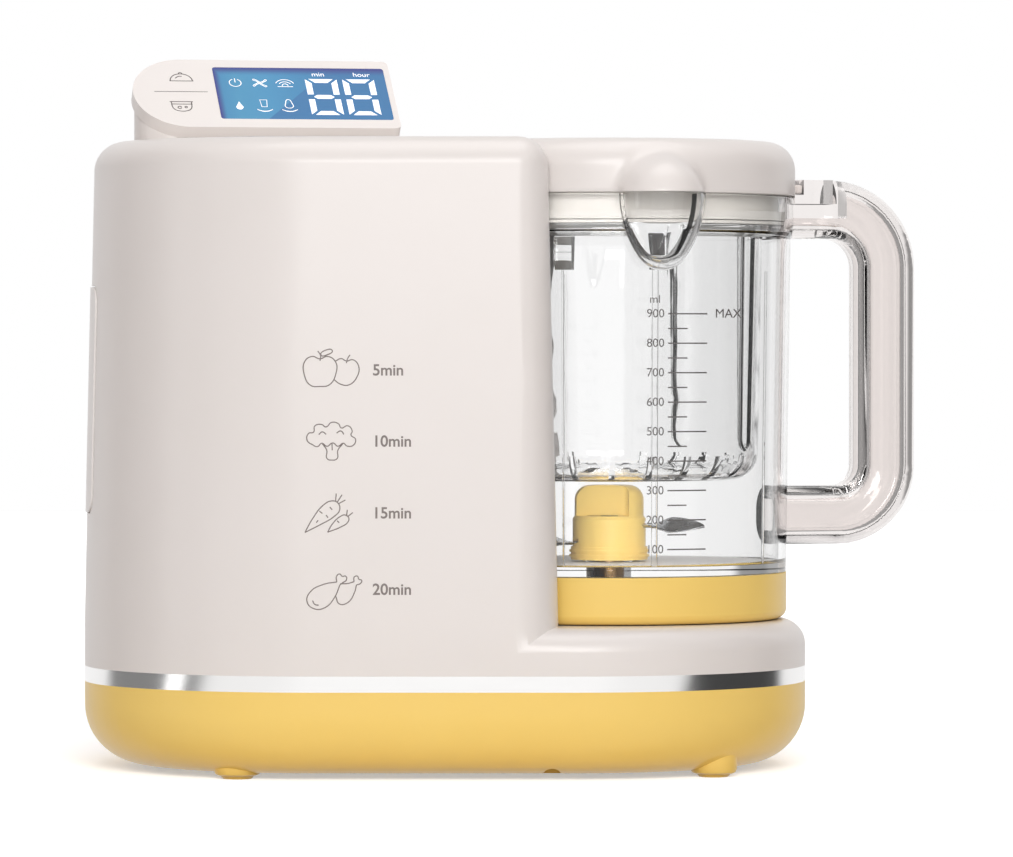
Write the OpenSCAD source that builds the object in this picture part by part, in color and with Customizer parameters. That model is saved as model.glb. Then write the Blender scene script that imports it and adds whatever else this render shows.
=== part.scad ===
// Baby food maker: a steamer and a blender in one housing, with a clear jug.
// X runs to the right, Y to the back and Z up. The origin is on the table, under the middle.

/* [Base] */
// Length of the base, end to end
base_length = 244; // [238:1:250]
// Depth of the base, which is the width of its round ends
base_depth = 157; // [154:1:162]
// Height of the tray's underside above the table
foot_drop = 2; // [1:0.5:4]
// Height of the yellow tray
tray_height = 27.8; // [27:0.2:32]
// Radius of the tray's lower edge
tray_edge_r = 20; // [14:1:22]
// Height of the steel band
band_height = 5.2; // [4:0.2:8]
// Thickness of the steel band
band_thickness = 1; // [0.8:0.1:1.4]
// Height of the shelf that the jug stands on, above the band
shelf_height = 15.5; // [15:0.5:20]
// Radius of the shelf's upper edge
shelf_edge_r = 8.5; // [5:0.5:10]
// Wall of the moulded housings
wall = 2.6; // [2:0.1:3]

/* [Tower] */
// Height of the tower above the shelf
tower_height = 161; // [159:1:170]
// How far each tower wall leans in between the shelf and the top
tower_lean = 3.6; // [2:0.2:5]
// Radius of the tower's top edge
tower_edge_r = 10; // [8:0.5:12]
// Distance from the tower's right face to the jug's axis, at the shelf
lip_to_jug = 17.8; // [14:0.2:24]

/* [Jug] */
// Distance from the base's left end to the jug's axis
jug_from_left = 177.6; // [176:0.2:180]
// Outer radius of the jug under its collar
jug_radius = 61.4; // [60:0.2:62]
// How much narrower the jug is at the foot
jug_taper = 1.4; // [0.6:0.2:2]
// Wall of the jug
jug_wall = 3; // [2.6:0.1:3.2]
// Height of the jug above its base ring, rim included
jug_height = 126.7; // [124:0.5:132]
// Height of the yellow base ring
ring_height = 15.5; // [15:0.5:18]
// Height of the clear collar round the jug's rim
collar_height = 14; // [12:0.5:16]
// Depth under the rim of the step that the basket hangs on
seat_depth = 12; // [9:0.5:13]
// Turn of the handle and spout about the jug's axis, from straight right
jug_turn = 15; // [10:1:20]
// Radius of the spout
spout_radius = 14.3; // [12:0.1:15]
// Distance from the jug's axis to the spout's axis
spout_reach = 63.2; // [60:0.2:66]
// Air between the jug and the bay wall
bay_gap = 3.1; // [2.6:0.1:4]

/* [Handle] */
// Reach of the handle from the jug's axis, to the right
handle_reach = 104.8; // [102:0.2:110]
// Width of the handle's bar, seen from the front
handle_bar = 20; // [18:0.5:22]
// Depth of the handle's bar
handle_depth = 24; // [20:0.5:26]
// Height of the handle, outside
handle_height = 124.1; // [118:0.5:126]
// Wall of the hollow handle
handle_wall = 4.6; // [2.4:0.1:5]

/* [Lid] */
// Height of the white cap
lid_height = 18.2; // [16:0.2:22]
// Radius of the cap's top edge
lid_edge_r = 9.5; // [6:0.5:11]
// Wall of the cap
lid_wall = 2.2; // [1.8:0.1:2.6]

/* [Steam basket] */
// Outer radius of the basket
basket_radius = 51.9; // [50:0.2:53]
// Wall of the basket
basket_wall = 2; // [1.6:0.1:2.4]
// Depth of the basket under its rim
basket_depth = 85.3; // [81:0.1:86]
// Number of slots round the basket
basket_slots = 24; // [16:2:32]

/* [Blade unit] */
// Radius of the hub's lower part
hub_radius = 12.4; // [12:0.2:14]
// Height of the hub above the jug's floor
hub_height = 25.9; // [24:0.1:26.5]
// Reach of the blades from the axis
blade_reach = 33.5; // [28:0.5:46]
// Thickness of the blades
blade_thickness = 1.2; // [0.8:0.1:1.6]

/* [Water tank] */
// Height of the tank's door
door_height = 76.6; // [72:0.2:78]
// Width of the tank's door
door_width = 44; // [40:1:48]
// Height of the door's lower edge above the shelf
door_lift = 35.9; // [35:0.1:40]
// Length of the tank, from the outside of the door
tank_length = 74; // [66:1:76]
// Wall of the tank
tank_wall = 1.8; // [1.4:0.1:2.2]

/* [Display] */
// Length of the display's face plate
face_length = 89.5; // [86:0.5:94]
// Height of the face plate, along its slope
face_height = 36.2; // [34:0.2:38]
// Thickness of the face plate
face_thickness = 5; // [4:0.2:6]
// Lean of the face plate, back from upright
face_tilt = 49; // [40:1:55]
// Turn of the face plate, right end to the back
face_yaw = 12; // [6:1:14]
// Length of the blue lens
lens_length = 59; // [50:0.5:62]
// Height of the blue lens
lens_height = 27.7; // [24:0.1:29]

/* [Drive] */
// Radius of the motor
motor_radius = 29; // [24:1:32]
// Height of the motor
motor_height = 40; // [34:1:42]
// Radius of the motor's pulley
motor_pulley_r = 9; // [8:0.5:11]
// Radius of the drive pulley
drive_pulley_r = 27; // [24:1:30]
// Thickness of the belt
belt_thickness = 1.6; // [1.2:0.1:2]
// Radius of the drive shaft
drive_shaft_r = 4; // [3:0.5:5]
// Radius of the blade shaft
blade_shaft_r = 3; // [2.5:0.25:3.5]

/* [Fits] */
// Radial clearance of a shaft that turns
running_gap = 0.05; // [0.02:0.01:0.08]
// Clearance between pieces that are fixed together
held_gap = 0.05; // [0.02:0.01:0.1]
// Clearance between pieces that lift or slide apart
loose_gap = 0.3; // [0.25:0.05:0.4]

/* [Hidden] */
$fn = 64;

white = "#ebe7e3";
yellow = "#f7d36d";
steel = "#c9c9c9";
clear = [0.85, 0.9, 0.92, 0.45];

// A little extra, so that cuts pass right through
past = 1;
// How far a rounding's circle is pushed out, so that it crosses its walls cleanly
cross = 0.02;

// Levels, from the table up
tray_z = foot_drop;
tray_top = tray_z + tray_height;
band_top = tray_top + band_height;
shelf_top = band_top + shelf_height;
tower_top = shelf_top + tower_height;

// The base's outline: a slot shape with round ends
handle_span = jug_from_left + handle_reach;
base_left = -handle_span / 2;
end_r = base_depth / 2;
left_x = base_left + end_r;
right_x = base_left + base_length - end_r;
jug_x = base_left + jug_from_left;
lip_x = jug_x - lip_to_jug;
// The right corners are just wide enough for the top edge to run round them
tower_corner_r = tower_edge_r + tower_lean + 0.4;

// The jug's levels
ring_z = shelf_top + loose_gap;
jug_z = ring_z + ring_height;
floor_thickness = 3.5;
floor_z = jug_z + floor_thickness;
rim_z = jug_z + jug_height;
collar_z = rim_z - collar_height;
collar_r = jug_radius + 0.9;
collar_step = 3.1;
jug_foot_r = jug_radius - jug_taper;
rim_seat_z = rim_z - seat_depth;
rim_bore_r = collar_r - 2.5;
bay_r = jug_radius + bay_gap;

// Mirrors the children to both sides of the XZ plane, and keeps them
module both_sides() {
    children();
    mirror([0, 1, 0]) children();
}

// Stands the children on the jug's axis
module at_jug(z = 0) translate([jug_x, 0, z]) children();

// A rectangle from one corner to the other
module rectangle(from, to) translate(from) square(to - from);

// A rectangle with round corners, round its own middle
module round_rect(w, h, r) {
    square([w - 2 * r, h], center = true);
    square([w, h - 2 * r], center = true);
    for (x = [-1, 1], y = [-1, 1]) translate([x * (w / 2 - r), y * (h / 2 - r)]) circle(r);
}

// Sweeps a half profile round the slot-shaped outline
module stadium() {
    translate([left_x, 0, 0]) rotate(90) rotate_extrude(angle = 180) children();
    translate([right_x, 0, 0]) rotate(-90) rotate_extrude(angle = 180) children();
    straight(left_x, right_x) children();
}

// The straight stretch of a sweep, on both sides of the middle
module straight(from, to) {
    translate([from, 0, 0]) rotate([90, 0, 90]) linear_extrude(to - from) {
        children();
        mirror([1, 0]) children();
    }
}

// Half a housing's section: an upright wall, then a leaning one, then a round top edge.
// lean is how far the wall has come in at the top of the tower.
module housing_profile(r, top, edge_r, lean = 0) {
    low_z = r < end_r ? band_top - past : band_top;
    slope = atan(lean / (tower_top - shelf_top));
    edge_z = top - edge_r;
    wall_x = r - (edge_z - shelf_top) * tan(slope);
    edge_x = wall_x - edge_r / cos(slope);
    difference() {
        polygon([[0, low_z], [r, low_z], if (lean > 0) [r, shelf_top],
            [r - (top - shelf_top) * tan(slope), top], [0, top]]);
        difference() {
            rectangle([edge_x, edge_z], [r + past, top + past]);
            translate([edge_x, edge_z]) circle(edge_r + cross);
        }
    }
}

// The shelf and everything under the tower down to the band
module shelf_form(inset) {
    start_x = left_x + end_r / 2;
    translate([right_x, 0, 0]) rotate(-90) rotate_extrude(angle = 180) shelf_profile(inset);
    straight(start_x, right_x) shelf_profile(inset);
}

module shelf_profile(inset) {
    housing_profile(end_r - inset, shelf_top - inset, shelf_edge_r - inset);
}

module tower_profile(inset) {
    housing_profile(end_r - inset, tower_top - inset, tower_edge_r - inset, tower_lean);
}

// The tower's section at a right corner, measured from the corner's own axis
module corner_profile(inset) {
    intersection() {
        translate([tower_corner_r - end_r, 0]) tower_profile(inset);
        rectangle([0, band_top - 2 * past], [end_r, tower_top + past]);
    }
}

// The tower as a solid, with its round left end, two round right corners and the jug bay
module tower_form(inset) {
    corner_x = lip_x - tower_corner_r;
    corner_y = end_r - tower_corner_r;
    difference() {
        union() {
            translate([left_x, 0, 0]) rotate(90) rotate_extrude(angle = 180)
                tower_profile(inset);
            straight(left_x, corner_x) tower_profile(inset);
            translate([corner_x, corner_y, 0]) rotate([90, 0, 0])
                linear_extrude(2 * corner_y) corner_profile(inset);
            translate([corner_x, corner_y, 0]) rotate_extrude(angle = 90)
                corner_profile(inset);
            translate([corner_x, -corner_y, 0]) rotate(-90) rotate_extrude(angle = 90)
                corner_profile(inset);
        }
        at_jug(shelf_top - inset) cylinder(r = bay_r + inset, h = tower_height + 2 * wall);
    }
}

/* Base tray ------------------------------------------------------------ */

bump_r = 7.8;
bump_z = foot_drop / 2;
foot_r = 5.4;
foot_depth = 3.6;
foot_places = [[left_x - 24.5, end_r - 24.5], [right_x + 46, end_r - 33.5]];
screw_r = 1.5;
screw_head_r = 2.9;
head_z = 2.6;
boss_r = 5;
notch_x = left_x + 79.3;
notch_r = 3.3;
gland_x = left_x + 22.7;
gland_r = 5.5;
gland_z = tray_top - 6.3;
vent_width = 2.4;
vent_pitch = 5.5;

// Places the children at all four feet
module at_feet() both_sides() for (p = foot_places) translate([p.x, p.y, 0]) children();

module tray_profile(inset) {
    r = end_r - inset;
    edge_r = tray_edge_r - inset;
    edge_z = tray_z + tray_edge_r;
    polygon([[0, tray_z + inset], [r - edge_r, tray_z + inset], [r - edge_r, edge_z],
        [r, edge_z], [r, tray_top], [0, tray_top]]);
    intersection() {
        translate([r - edge_r, edge_z]) circle(edge_r);
        rectangle([r - edge_r, tray_z], [r, edge_z]);
    }
}

module base_tray() {
    rim_r = end_r - band_thickness - held_gap;
    color(yellow) difference() {
        union() {
            difference() {
                union() {
                    stadium() tray_profile(0);
                    stadium() rectangle([0, tray_top - wall], [rim_r, band_top]);
                }
                stadium() {
                    tray_profile(wall);
                    rectangle([0, tray_top - past], [end_r - wall, band_top + past]);
                }
            }
            // A round bump over each foot, with a boss inside for the screw
            at_feet() rotate_extrude() {
                polygon([[0, bump_z], [bump_r - 1.6, bump_z], [bump_r - 0.5, bump_z + 0.5],
                    [bump_r, bump_z + 1.6], [bump_r, tray_z + 3.6 * wall],
                    [0, tray_z + 3.6 * wall]]);
                rectangle([0, bump_z + foot_depth], [boss_r, band_top]);
            }
        }
        at_feet() {
            translate([0, 0, -past]) cylinder(r = foot_r + held_gap, h = foot_depth + past);
            cylinder(r = screw_r + 0.1, h = band_top + past);
        }
        translate([notch_x, -end_r - past, tray_z - notch_r / 3]) rotate([-90, 0, 0])
            cylinder(r = notch_r, h = tray_edge_r + 2 * past);
        translate([gland_x, end_r + past, gland_z]) rotate([90, 0, 0])
            cylinder(r = gland_r + held_gap, h = tray_edge_r);
        for (i = [-4:4]) translate([left_x + i * vent_pitch, 0, 0])
            linear_extrude(tray_z + 2 * wall) square([vent_width, 34], center = true);
    }
}

module feet() {
    color(yellow) at_feet() difference() {
        rotate_extrude() polygon([[0, 0], [foot_r - 0.6, 0], [foot_r, 0.6],
            [foot_r, foot_depth], [0, foot_depth]]);
        translate([0, 0, -past]) cylinder(r = screw_head_r + 0.3, h = head_z + past);
        cylinder(r = screw_r + 0.1, h = foot_depth + past);
    }
}

module base_screws() {
    color(steel) at_feet() difference() {
        union() {
            translate([0, 0, head_z - 2]) cylinder(r = screw_head_r, h = 2);
            translate([0, 0, head_z]) cylinder(r = screw_r, h = band_top + 4 - head_z);
        }
        translate([0, 0, head_z - 2.5]) linear_extrude(1.5) {
            square([3.4, 0.9], center = true);
            square([0.9, 3.4], center = true);
        }
    }
}

module trim_band() {
    color(steel) stadium() rectangle([end_r - band_thickness, tray_top], [end_r, band_top]);
}

module cord_gland() {
    length = 8;
    color("#f2efe9") translate([gland_x, end_r - held_gap, gland_z]) rotate([90, 0, 0])
        difference() {
            cylinder(r = gland_r, h = length);
            translate([0, 0, -past]) cylinder(r = 3, h = length + 2 * past);
            translate([0, 0, -past]) cylinder(r = 4, h = 2 + past);
        }
}

/* Chassis -------------------------------------------------------------- */

chassis_z = band_top;
chassis_thickness = 3;
chassis_top = chassis_z + chassis_thickness;
// The motor stands against the bay, with its mount's rim between
mount_rim = 3;
motor_x = jug_x - bay_r - wall - motor_radius - mount_rim;
pin_reach = 45;
pin_x = jug_x - pin_reach;
bearing_r = 11;

module chassis() {
    color("#d9d6d1") difference() {
        union() {
            translate([0, 0, chassis_z]) linear_extrude(chassis_thickness) union() {
                translate([left_x, 0]) circle(end_r - wall - loose_gap);
                translate([right_x, 0]) circle(end_r - wall - loose_gap);
                rectangle([left_x, loose_gap + wall - end_r],
                    [right_x, end_r - wall - loose_gap]);
            }
            at_feet() translate([0, 0, chassis_top]) cylinder(r = boss_r, h = 2.5);
        }
        at_feet() translate([0, 0, chassis_z - past]) cylinder(r = screw_r + held_gap, h = 8);
        translate([motor_x, 0, chassis_z - past]) cylinder(r = 7, h = 5);
        at_jug(chassis_z - past) cylinder(r = bearing_r + held_gap, h = 5);
    }
}

/* Tower shell ---------------------------------------------------------- */

steam_z = rim_z + 6.5;
door_z = shelf_top + door_lift;
door_corner_r = 6;
seal_r = 7;

// A rounded window through the left end, w by h, seen along X
module door_window(from, to, grow, corner = door_corner_r) {
    translate([from, 0, door_z + door_height / 2]) rotate([90, 0, 90])
        linear_extrude(to - from)
            round_rect(door_width + 2 * grow, door_height + 2 * grow, corner + grow);
}

module tower_shell() {
    cable_x = base_left + 60;
    bay_round = 1.6;
    color(white) difference() {
        union() {
            shelf_form(0);
            tower_form(0);
        }
        shelf_form(wall);
        tower_form(wall);
        // The tank's door opening in the round left end
        door_window(base_left - past, base_left + 20, 0);
        // The shelf's holes for the drive and for the interlock pin
        at_jug(shelf_top - 2 * wall) cylinder(r = bearing_r + held_gap, h = 3 * wall);
        translate([pin_x, 0, shelf_top - 2 * wall]) cylinder(r = 2.6, h = 3 * wall);
        // The steam seal's hole through the bay wall
        translate([jug_x - bay_r - 3 * wall, 0, steam_z]) rotate([0, 90, 0])
            cylinder(r = seal_r - 2 + held_gap, h = 5 * wall);
        // The display's cable
        translate([cable_x, 0, tower_top - 2 * wall]) cylinder(r = 6, h = 3 * wall);
        // The bay's upper edge is rounded
        at_jug(tower_top) rotate_extrude() difference() {
            rectangle([bay_r - past, -bay_round], [bay_r + bay_round, past]);
            translate([bay_r + bay_round, -bay_round]) circle(bay_round + cross);
        }
    }
}

/* Display -------------------------------------------------------------- */

face_x = base_left + 19.9;
face_y = -24.6;
face_z = tower_top + 4.7;
lens_right = 2;
lens_bottom = 4.5;
lens_thickness = 1.8;

// Works on the face plate: x along it, z up its slope, y into the pod
module on_face() {
    translate([face_x, face_y, face_z]) rotate([0, 0, face_yaw]) rotate([-face_tilt, 0, 0])
        children();
}

// Draws a flat shape on the face, from one depth to another
module into_face(from, to) {
    on_face() translate([0, to, 0]) rotate([90, 0, 0]) linear_extrude(to - from) children();
}

module face_outline(inset) {
    r = face_height / 2;
    corner = 2;
    end = face_length - inset;
    translate([r, r]) circle(r - inset);
    rectangle([r, inset], [end - corner, face_height - inset]);
    rectangle([r, inset + corner], [end, face_height - inset - corner]);
    for (y = [inset + corner, face_height - inset - corner])
        translate([end - corner, y]) circle(corner);
}

module lens_outline(gap) {
    translate([face_length - lens_right - lens_length / 2, lens_bottom + lens_height / 2])
        round_rect(lens_length + 2 * gap, lens_height + 2 * gap, 1);
}

module module_outline(gap) {
    translate([face_length - lens_right - lens_length / 2, lens_bottom + lens_height / 2])
        square([lens_length - 5 + 2 * gap, lens_height - 4 + 2 * gap], center = true);
}

module display_plate() {
    color(white) difference() {
        into_face(0, face_thickness) face_outline(0);
        into_face(-past, lens_thickness) lens_outline(held_gap);
        into_face(0, face_thickness + past) module_outline(held_gap);
    }
}

module display_lens() {
    color("#4fb3e6") into_face(0, lens_thickness) lens_outline(0);
}

module display_module() {
    color("#20304a") into_face(lens_thickness, face_thickness) module_outline(0);
}

module display_board() {
    color("#2f7a4a") into_face(face_thickness, face_thickness + 1.6)
        translate([face_length / 2 + 4, face_height / 2 - 1])
            square([face_length - 26, 20], center = true);
}

// The pod's footprint on the tower's top, seen from above
module pod_plan(inset) {
    front = face_thickness * cos(face_tilt) + 0.6;
    depth = face_height * sin(face_tilt) - 1;
    r = depth / 2;
    translate([face_x, face_y]) rotate(face_yaw) {
        translate([r + 1, front + r]) circle(r - inset);
        rectangle([r + 1, front + inset], [face_length - 1 - inset, front + depth - inset]);
    }
}

module display_housing() {
    pod_height = face_height * cos(face_tilt) + 10;
    color(white) intersection() {
        translate([0, 0, tower_top]) linear_extrude(pod_height) difference() {
            pod_plan(0);
            pod_plan(2);
        }
        on_face() translate([-20, face_thickness, -40])
            cube([face_length + 40, 60, face_height + 80]);
    }
}

/* Water tank ----------------------------------------------------------- */

door_proud = 0.5;
door_thickness = 2.4;
door_gap = 0.5;
tank_end = base_left + tank_length;
tank_inset = 0.6;
sleeve_gap = 0.3;
sleeve_wall = 1.5;
sleeve_end = tank_end + 0.5;
valve_z = door_z + 8;
valve_r = 6.6;
valve_spigot_r = 4.6;
valve_bore_r = 3;
valve_length = 5;
cap_x = tank_end - 20;
cap_r = 11;

module tank_door() {
    color(white) intersection() {
        difference() {
            tower_form(-door_proud);
            tower_form(door_thickness - door_proud);
        }
        door_window(base_left - 5, base_left + 20, -door_gap);
    }
}

// The tank's inside or outside, as a solid
module tank_form(inset) {
    intersection() {
        door_window(base_left - 5, tank_end - inset, -tank_inset - inset);
        tower_form(door_thickness - door_proud + held_gap + inset);
    }
}

module tank_body() {
    tank_top = door_z + door_height - tank_inset;
    color(clear) difference() {
        intersection() {
            tank_form(0);
            translate([base_left - 10, -door_width, door_z - 5])
                cube([tank_length + 20, 2 * door_width, door_height - cap_height + 5]);
        }
        intersection() {
            tank_form(tank_wall);
            translate([base_left - 10, -door_width, door_z - 5])
                cube([tank_length + 20, 2 * door_width, door_height - cap_height + 5 - tank_wall]);
        }
        translate([cap_x, 0, tank_top - 12]) cylinder(r = cap_r, h = 20);
        translate([tank_end - 3 * tank_wall, 0, valve_z]) rotate([0, 90, 0])
            cylinder(r = valve_spigot_r + held_gap, h = 6 * tank_wall);
    }
}

cap_height = 2.4;

module tank_cap() {
    seat_z = door_z + door_height - cap_height;
    color(yellow) translate([cap_x, 0, seat_z]) difference() {
        union() {
            cylinder(r = cap_r + 1.6, h = cap_height - 1);
            translate([0, 0, -4]) cylinder(r = cap_r - held_gap, h = 4);
        }
        translate([0, 0, -4 - past]) cylinder(r = cap_r - 2, h = 4 + past);
    }
}

module tank_valve() {
    color("#8f9499") translate([tank_end, 0, valve_z]) rotate([0, 90, 0]) difference() {
        union() {
            cylinder(r = valve_r, h = valve_length);
            translate([0, 0, -4]) cylinder(r = valve_spigot_r, h = 4);
        }
        translate([0, 0, -4 - past])
            cylinder(r = valve_bore_r, h = valve_length + 4 + 2 * past);
    }
}

module tank_sleeve() {
    color("#dedbd6") difference() {
        intersection() {
            door_window(base_left - 5, sleeve_end + sleeve_wall, sleeve_gap + sleeve_wall);
            tower_form(wall + 2 * held_gap);
        }
        door_window(base_left - 10, sleeve_end, sleeve_gap);
        translate([sleeve_end - past, 0, valve_z]) rotate([0, 90, 0])
            cylinder(r = valve_r + loose_gap, h = sleeve_wall + 2 * past);
    }
}

module tank_dock() {
    dock_r = valve_r + 3;
    dock_x = sleeve_end + sleeve_wall;
    color("#8f9499") translate([dock_x, 0, valve_z]) rotate([0, 90, 0]) difference() {
        union() {
            cylinder(r = dock_r, h = 6);
            translate([0, 0, 6]) cylinder(r = hose_bore_r - held_gap, h = 8);
        }
        translate([0, 0, -past]) cylinder(r = valve_r + loose_gap, h = 4.5 + past);
        cylinder(r = 1.4, h = 20);
    }
}

/* Water and steam ------------------------------------------------------ */

hose_r = 3.5;
hose_bore_r = 2.2;
pipe_r = 4;
pipe_bore_r = 2.8;
bracket_z = door_z + door_height + sleeve_gap + sleeve_wall;
boiler_x = left_x - 25;
boiler_r = 30;
boiler_z = bracket_z + 5;
// Room over the boiler for the steam pipe's bend
steam_rise = 7.7;
boiler_height = steam_z - steam_rise - boiler_z;
boiler_top = boiler_z + boiler_height;
pump_x = motor_x + 13;
pump_y = end_r - 28.5;
pump_height = 32;

// A pipe through points with square corners, each bent to the same radius
module bent_pipe(points, r, bend, grow = 0) {
    last = len(points) - 1;
    dirs = [for (i = [0:last - 1]) (points[i + 1] - points[i]) / norm(points[i + 1] - points[i])];
    for (i = [0:last - 1]) {
        start = points[i] + dirs[i] * (i == 0 ? -grow : bend);
        end = points[i + 1] + dirs[i] * (i == last - 1 ? grow : -bend);
        place(start, dirs[i]) cylinder(r = r, h = norm(end - start));
    }
    for (i = [1:last - 1]) {
        centre = points[i] - dirs[i - 1] * bend + dirs[i] * bend;
        side = -dirs[i];
        ahead = dirs[i - 1];
        axis = cross(side, ahead);
        multmatrix([[side.x, ahead.x, axis.x, centre.x], [side.y, ahead.y, axis.y, centre.y],
            [side.z, ahead.z, axis.z, centre.z], [0, 0, 0, 1]])
            rotate_extrude(angle = 90) translate([bend, 0]) circle(r);
    }
}

// Turns the children's Z to a direction along one of the axes
module place(at, dir) {
    turn = abs(dir.z) > 0.5 ? (dir.z > 0 ? [0, 0, 0] : [180, 0, 0])
        : abs(dir.x) > 0.5 ? [0, 90 * sign(dir.x), 0] : [-90 * sign(dir.y), 0, 0];
    translate(at) rotate(turn) children();
}

module boiler_bracket() {
    color(steel) translate([boiler_x, 0, bracket_z]) difference() {
        union() {
            linear_extrude(1.5) round_rect(60, 40, 4);
            for (x = [-22, 22], y = [-14, 14]) translate([x, y, 0])
                cylinder(r = 3, h = boiler_z - bracket_z);
        }
        translate([0, 0, -past]) cylinder(r = 9, h = 4);
    }
}

module boiler() {
    spigot_r = pipe_bore_r - held_gap;
    color("#a9abad") translate([boiler_x, 0, boiler_z]) {
        difference() {
            union() {
                cylinder(r = boiler_r, h = boiler_height);
                translate([0, 0, 9]) cylinder(r = boiler_r + 4, h = 4);
                translate([0, 0, boiler_height]) cylinder(r = spigot_r, h = 3);
                translate([0, boiler_r - 3, 5]) rotate([-90, 0, 0])
                    cylinder(r = hose_bore_r - held_gap, h = 10);
            }
            translate([0, 0, 2.5]) cylinder(r = boiler_r - 3, h = boiler_height - 5);
            translate([0, 0, 5]) cylinder(r = 1.4, h = boiler_height);
            for (a = [0:60:300]) rotate(a + 30) translate([boiler_r + 1.8, 0, 8])
                cylinder(r = 1.2, h = 8);
        }
    }
}

module thermostat() {
    color("#3a3a3a") translate([boiler_x + 8, -17, boiler_top]) {
        cylinder(r = 7, h = 3);
        translate([0, 0, 3]) cylinder(r = 5, h = 2);
    }
}

module water_pump() {
    color("#4a4f55") translate([pump_x, pump_y, chassis_top]) {
        translate([0, 0, 11]) cube([30, 22, 22], center = true);
        translate([0, 0, 22]) cylinder(r = 7, h = pump_height - 22);
        for (x = [-12, 12]) translate([x, 0, 22])
            cylinder(r = hose_bore_r - held_gap, h = pump_height - 22);
    }
}

feed_points = [[sleeve_end + sleeve_wall + 6, 0, valve_z],
    [pump_x + 12, 0, valve_z], [pump_x + 12, pump_y, valve_z],
    [pump_x + 12, pump_y, chassis_top + 24]];
riser_points = [[pump_x - 12, pump_y, chassis_top + 24],
    [pump_x - 12, pump_y, boiler_z + 5], [boiler_x, pump_y, boiler_z + 5],
    [boiler_x, boiler_r + 0.5, boiler_z + 5]];
steam_points = [[boiler_x, 0, boiler_top], [boiler_x, 0, steam_z],
    [jug_x - bay_r - wall - 10, 0, steam_z]];

module feed_hose() {
    color("#d8d5cf") difference() {
        bent_pipe(feed_points, hose_r, 7);
        bent_pipe(feed_points, hose_bore_r, 7, past);
    }
}

module boiler_hose() {
    color("#d8d5cf") difference() {
        bent_pipe(riser_points, hose_r, 7);
        bent_pipe(riser_points, hose_bore_r, 7, past);
    }
}

module steam_pipe() {
    color("#b9bcbf") difference() {
        bent_pipe(steam_points, pipe_r, 5);
        bent_pipe(steam_points, pipe_bore_r, 5, past);
    }
}

// Grommet in the bay wall that carries steam to the port in the lid's side
module steam_seal() {
    tip_x = jug_x - lid_r - loose_gap;
    back_x = jug_x - bay_r - wall - 4;
    color("#c9c5bf") difference() {
        translate([back_x, 0, steam_z]) rotate([0, 90, 0]) {
            cylinder(r = seal_r, h = 3.4);
            cylinder(r = seal_r - 2, h = tip_x - back_x);
            translate([0, 0, -6]) cylinder(r = pipe_bore_r - held_gap, h = 6 + past);
        }
        translate([back_x - 10, 0, steam_z]) rotate([0, 90, 0]) cylinder(r = 2, h = 40);
    }
}

module power_board() {
    board_x = left_x - 18;
    board_y = 20.5 - end_r;
    color("#2f7a4a") translate([board_x, board_y, chassis_top]) cube([74, 1.6, 74]);
    color("#2b2b2b") translate([board_x, board_y + 1.6, chassis_top]) {
        translate([6, 0, 10]) cube([24, 16, 20]);
        translate([38, 0, 12]) cube([16, 12, 12]);
        translate([8, 0, 44]) cube([18, 8, 14]);
        for (x = [40, 56]) translate([x, 4.5, 44]) cylinder(r = 5, h = 18);
    }
}

/* Drive ---------------------------------------------------------------- */

motor_mount_thickness = 3;
motor_z = chassis_top + motor_mount_thickness;
motor_shaft_r = 3;
pulley_z = tray_z + wall + 4;
pulley_height = 10;
belt_z = pulley_z + 1;
belt_height = pulley_height - 2;
belt_gap = 0.3;
shaft_foot_z = pulley_z - 1.5;
housing_top = shelf_top;
dog_z = housing_top + 4.2;
dog_height = 4.2;
dog_gap = 0.4;
coupling_r = 10;
dog_inner_r = 5;
driven_z = dog_z + dog_height + dog_gap;

module motor_mount() {
    color("#5a5d60") translate([motor_x, 0, chassis_top]) difference() {
        union() {
            cylinder(r = motor_radius + mount_rim, h = motor_mount_thickness);
            translate([0, 0, motor_mount_thickness]) difference() {
                cylinder(r = motor_radius + mount_rim, h = 5);
                cylinder(r = motor_radius + held_gap, h = 6);
            }
        }
        translate([0, 0, -past]) cylinder(r = 8, h = motor_mount_thickness + 2 * past);
    }
}

module motor_body() {
    color("#7b7f83") translate([motor_x, 0, motor_z]) difference() {
        union() {
            cylinder(r = motor_radius, h = motor_height - 6);
            translate([0, 0, motor_height - 6]) cylinder(r = motor_radius - 8, h = 6);
            translate([0, 0, -motor_mount_thickness]) cylinder(r = 7.8, h = motor_mount_thickness);
        }
        translate([0, 0, -5]) cylinder(r = motor_shaft_r + running_gap, h = motor_height);
        for (a = [0:45:315]) rotate(a) translate([motor_radius - 3, 0, 8])
            cube([8, 5, motor_height - 22]);
    }
}

module motor_shaft() {
    color(steel) translate([motor_x, 0, shaft_foot_z])
        cylinder(r = motor_shaft_r, h = motor_z + motor_height - 8 - shaft_foot_z);
}

// A flanged belt pulley on a shaft
module pulley(r, shaft_r) {
    difference() {
        union() {
            cylinder(r = r, h = pulley_height);
            for (z = [0, pulley_height - 0.8]) translate([0, 0, z])
                cylinder(r = r + 1.2, h = 0.8);
        }
        translate([0, 0, -past]) cylinder(r = shaft_r + held_gap, h = pulley_height + 2 * past);
    }
}

module motor_pulley() {
    color("#3c3f42") translate([motor_x, 0, pulley_z]) pulley(motor_pulley_r, motor_shaft_r);
}

module drive_pulley() {
    web_inner = drive_shaft_r + 5;
    web_outer = drive_pulley_r - 4;
    color("#3c3f42") at_jug(pulley_z) difference() {
        pulley(drive_pulley_r, drive_shaft_r);
        for (a = [0:60:300]) rotate(a) translate([(web_inner + web_outer) / 2, 0, -past])
            cylinder(r = (web_outer - web_inner) / 2 - 1, h = pulley_height + 2 * past);
    }
}

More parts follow.
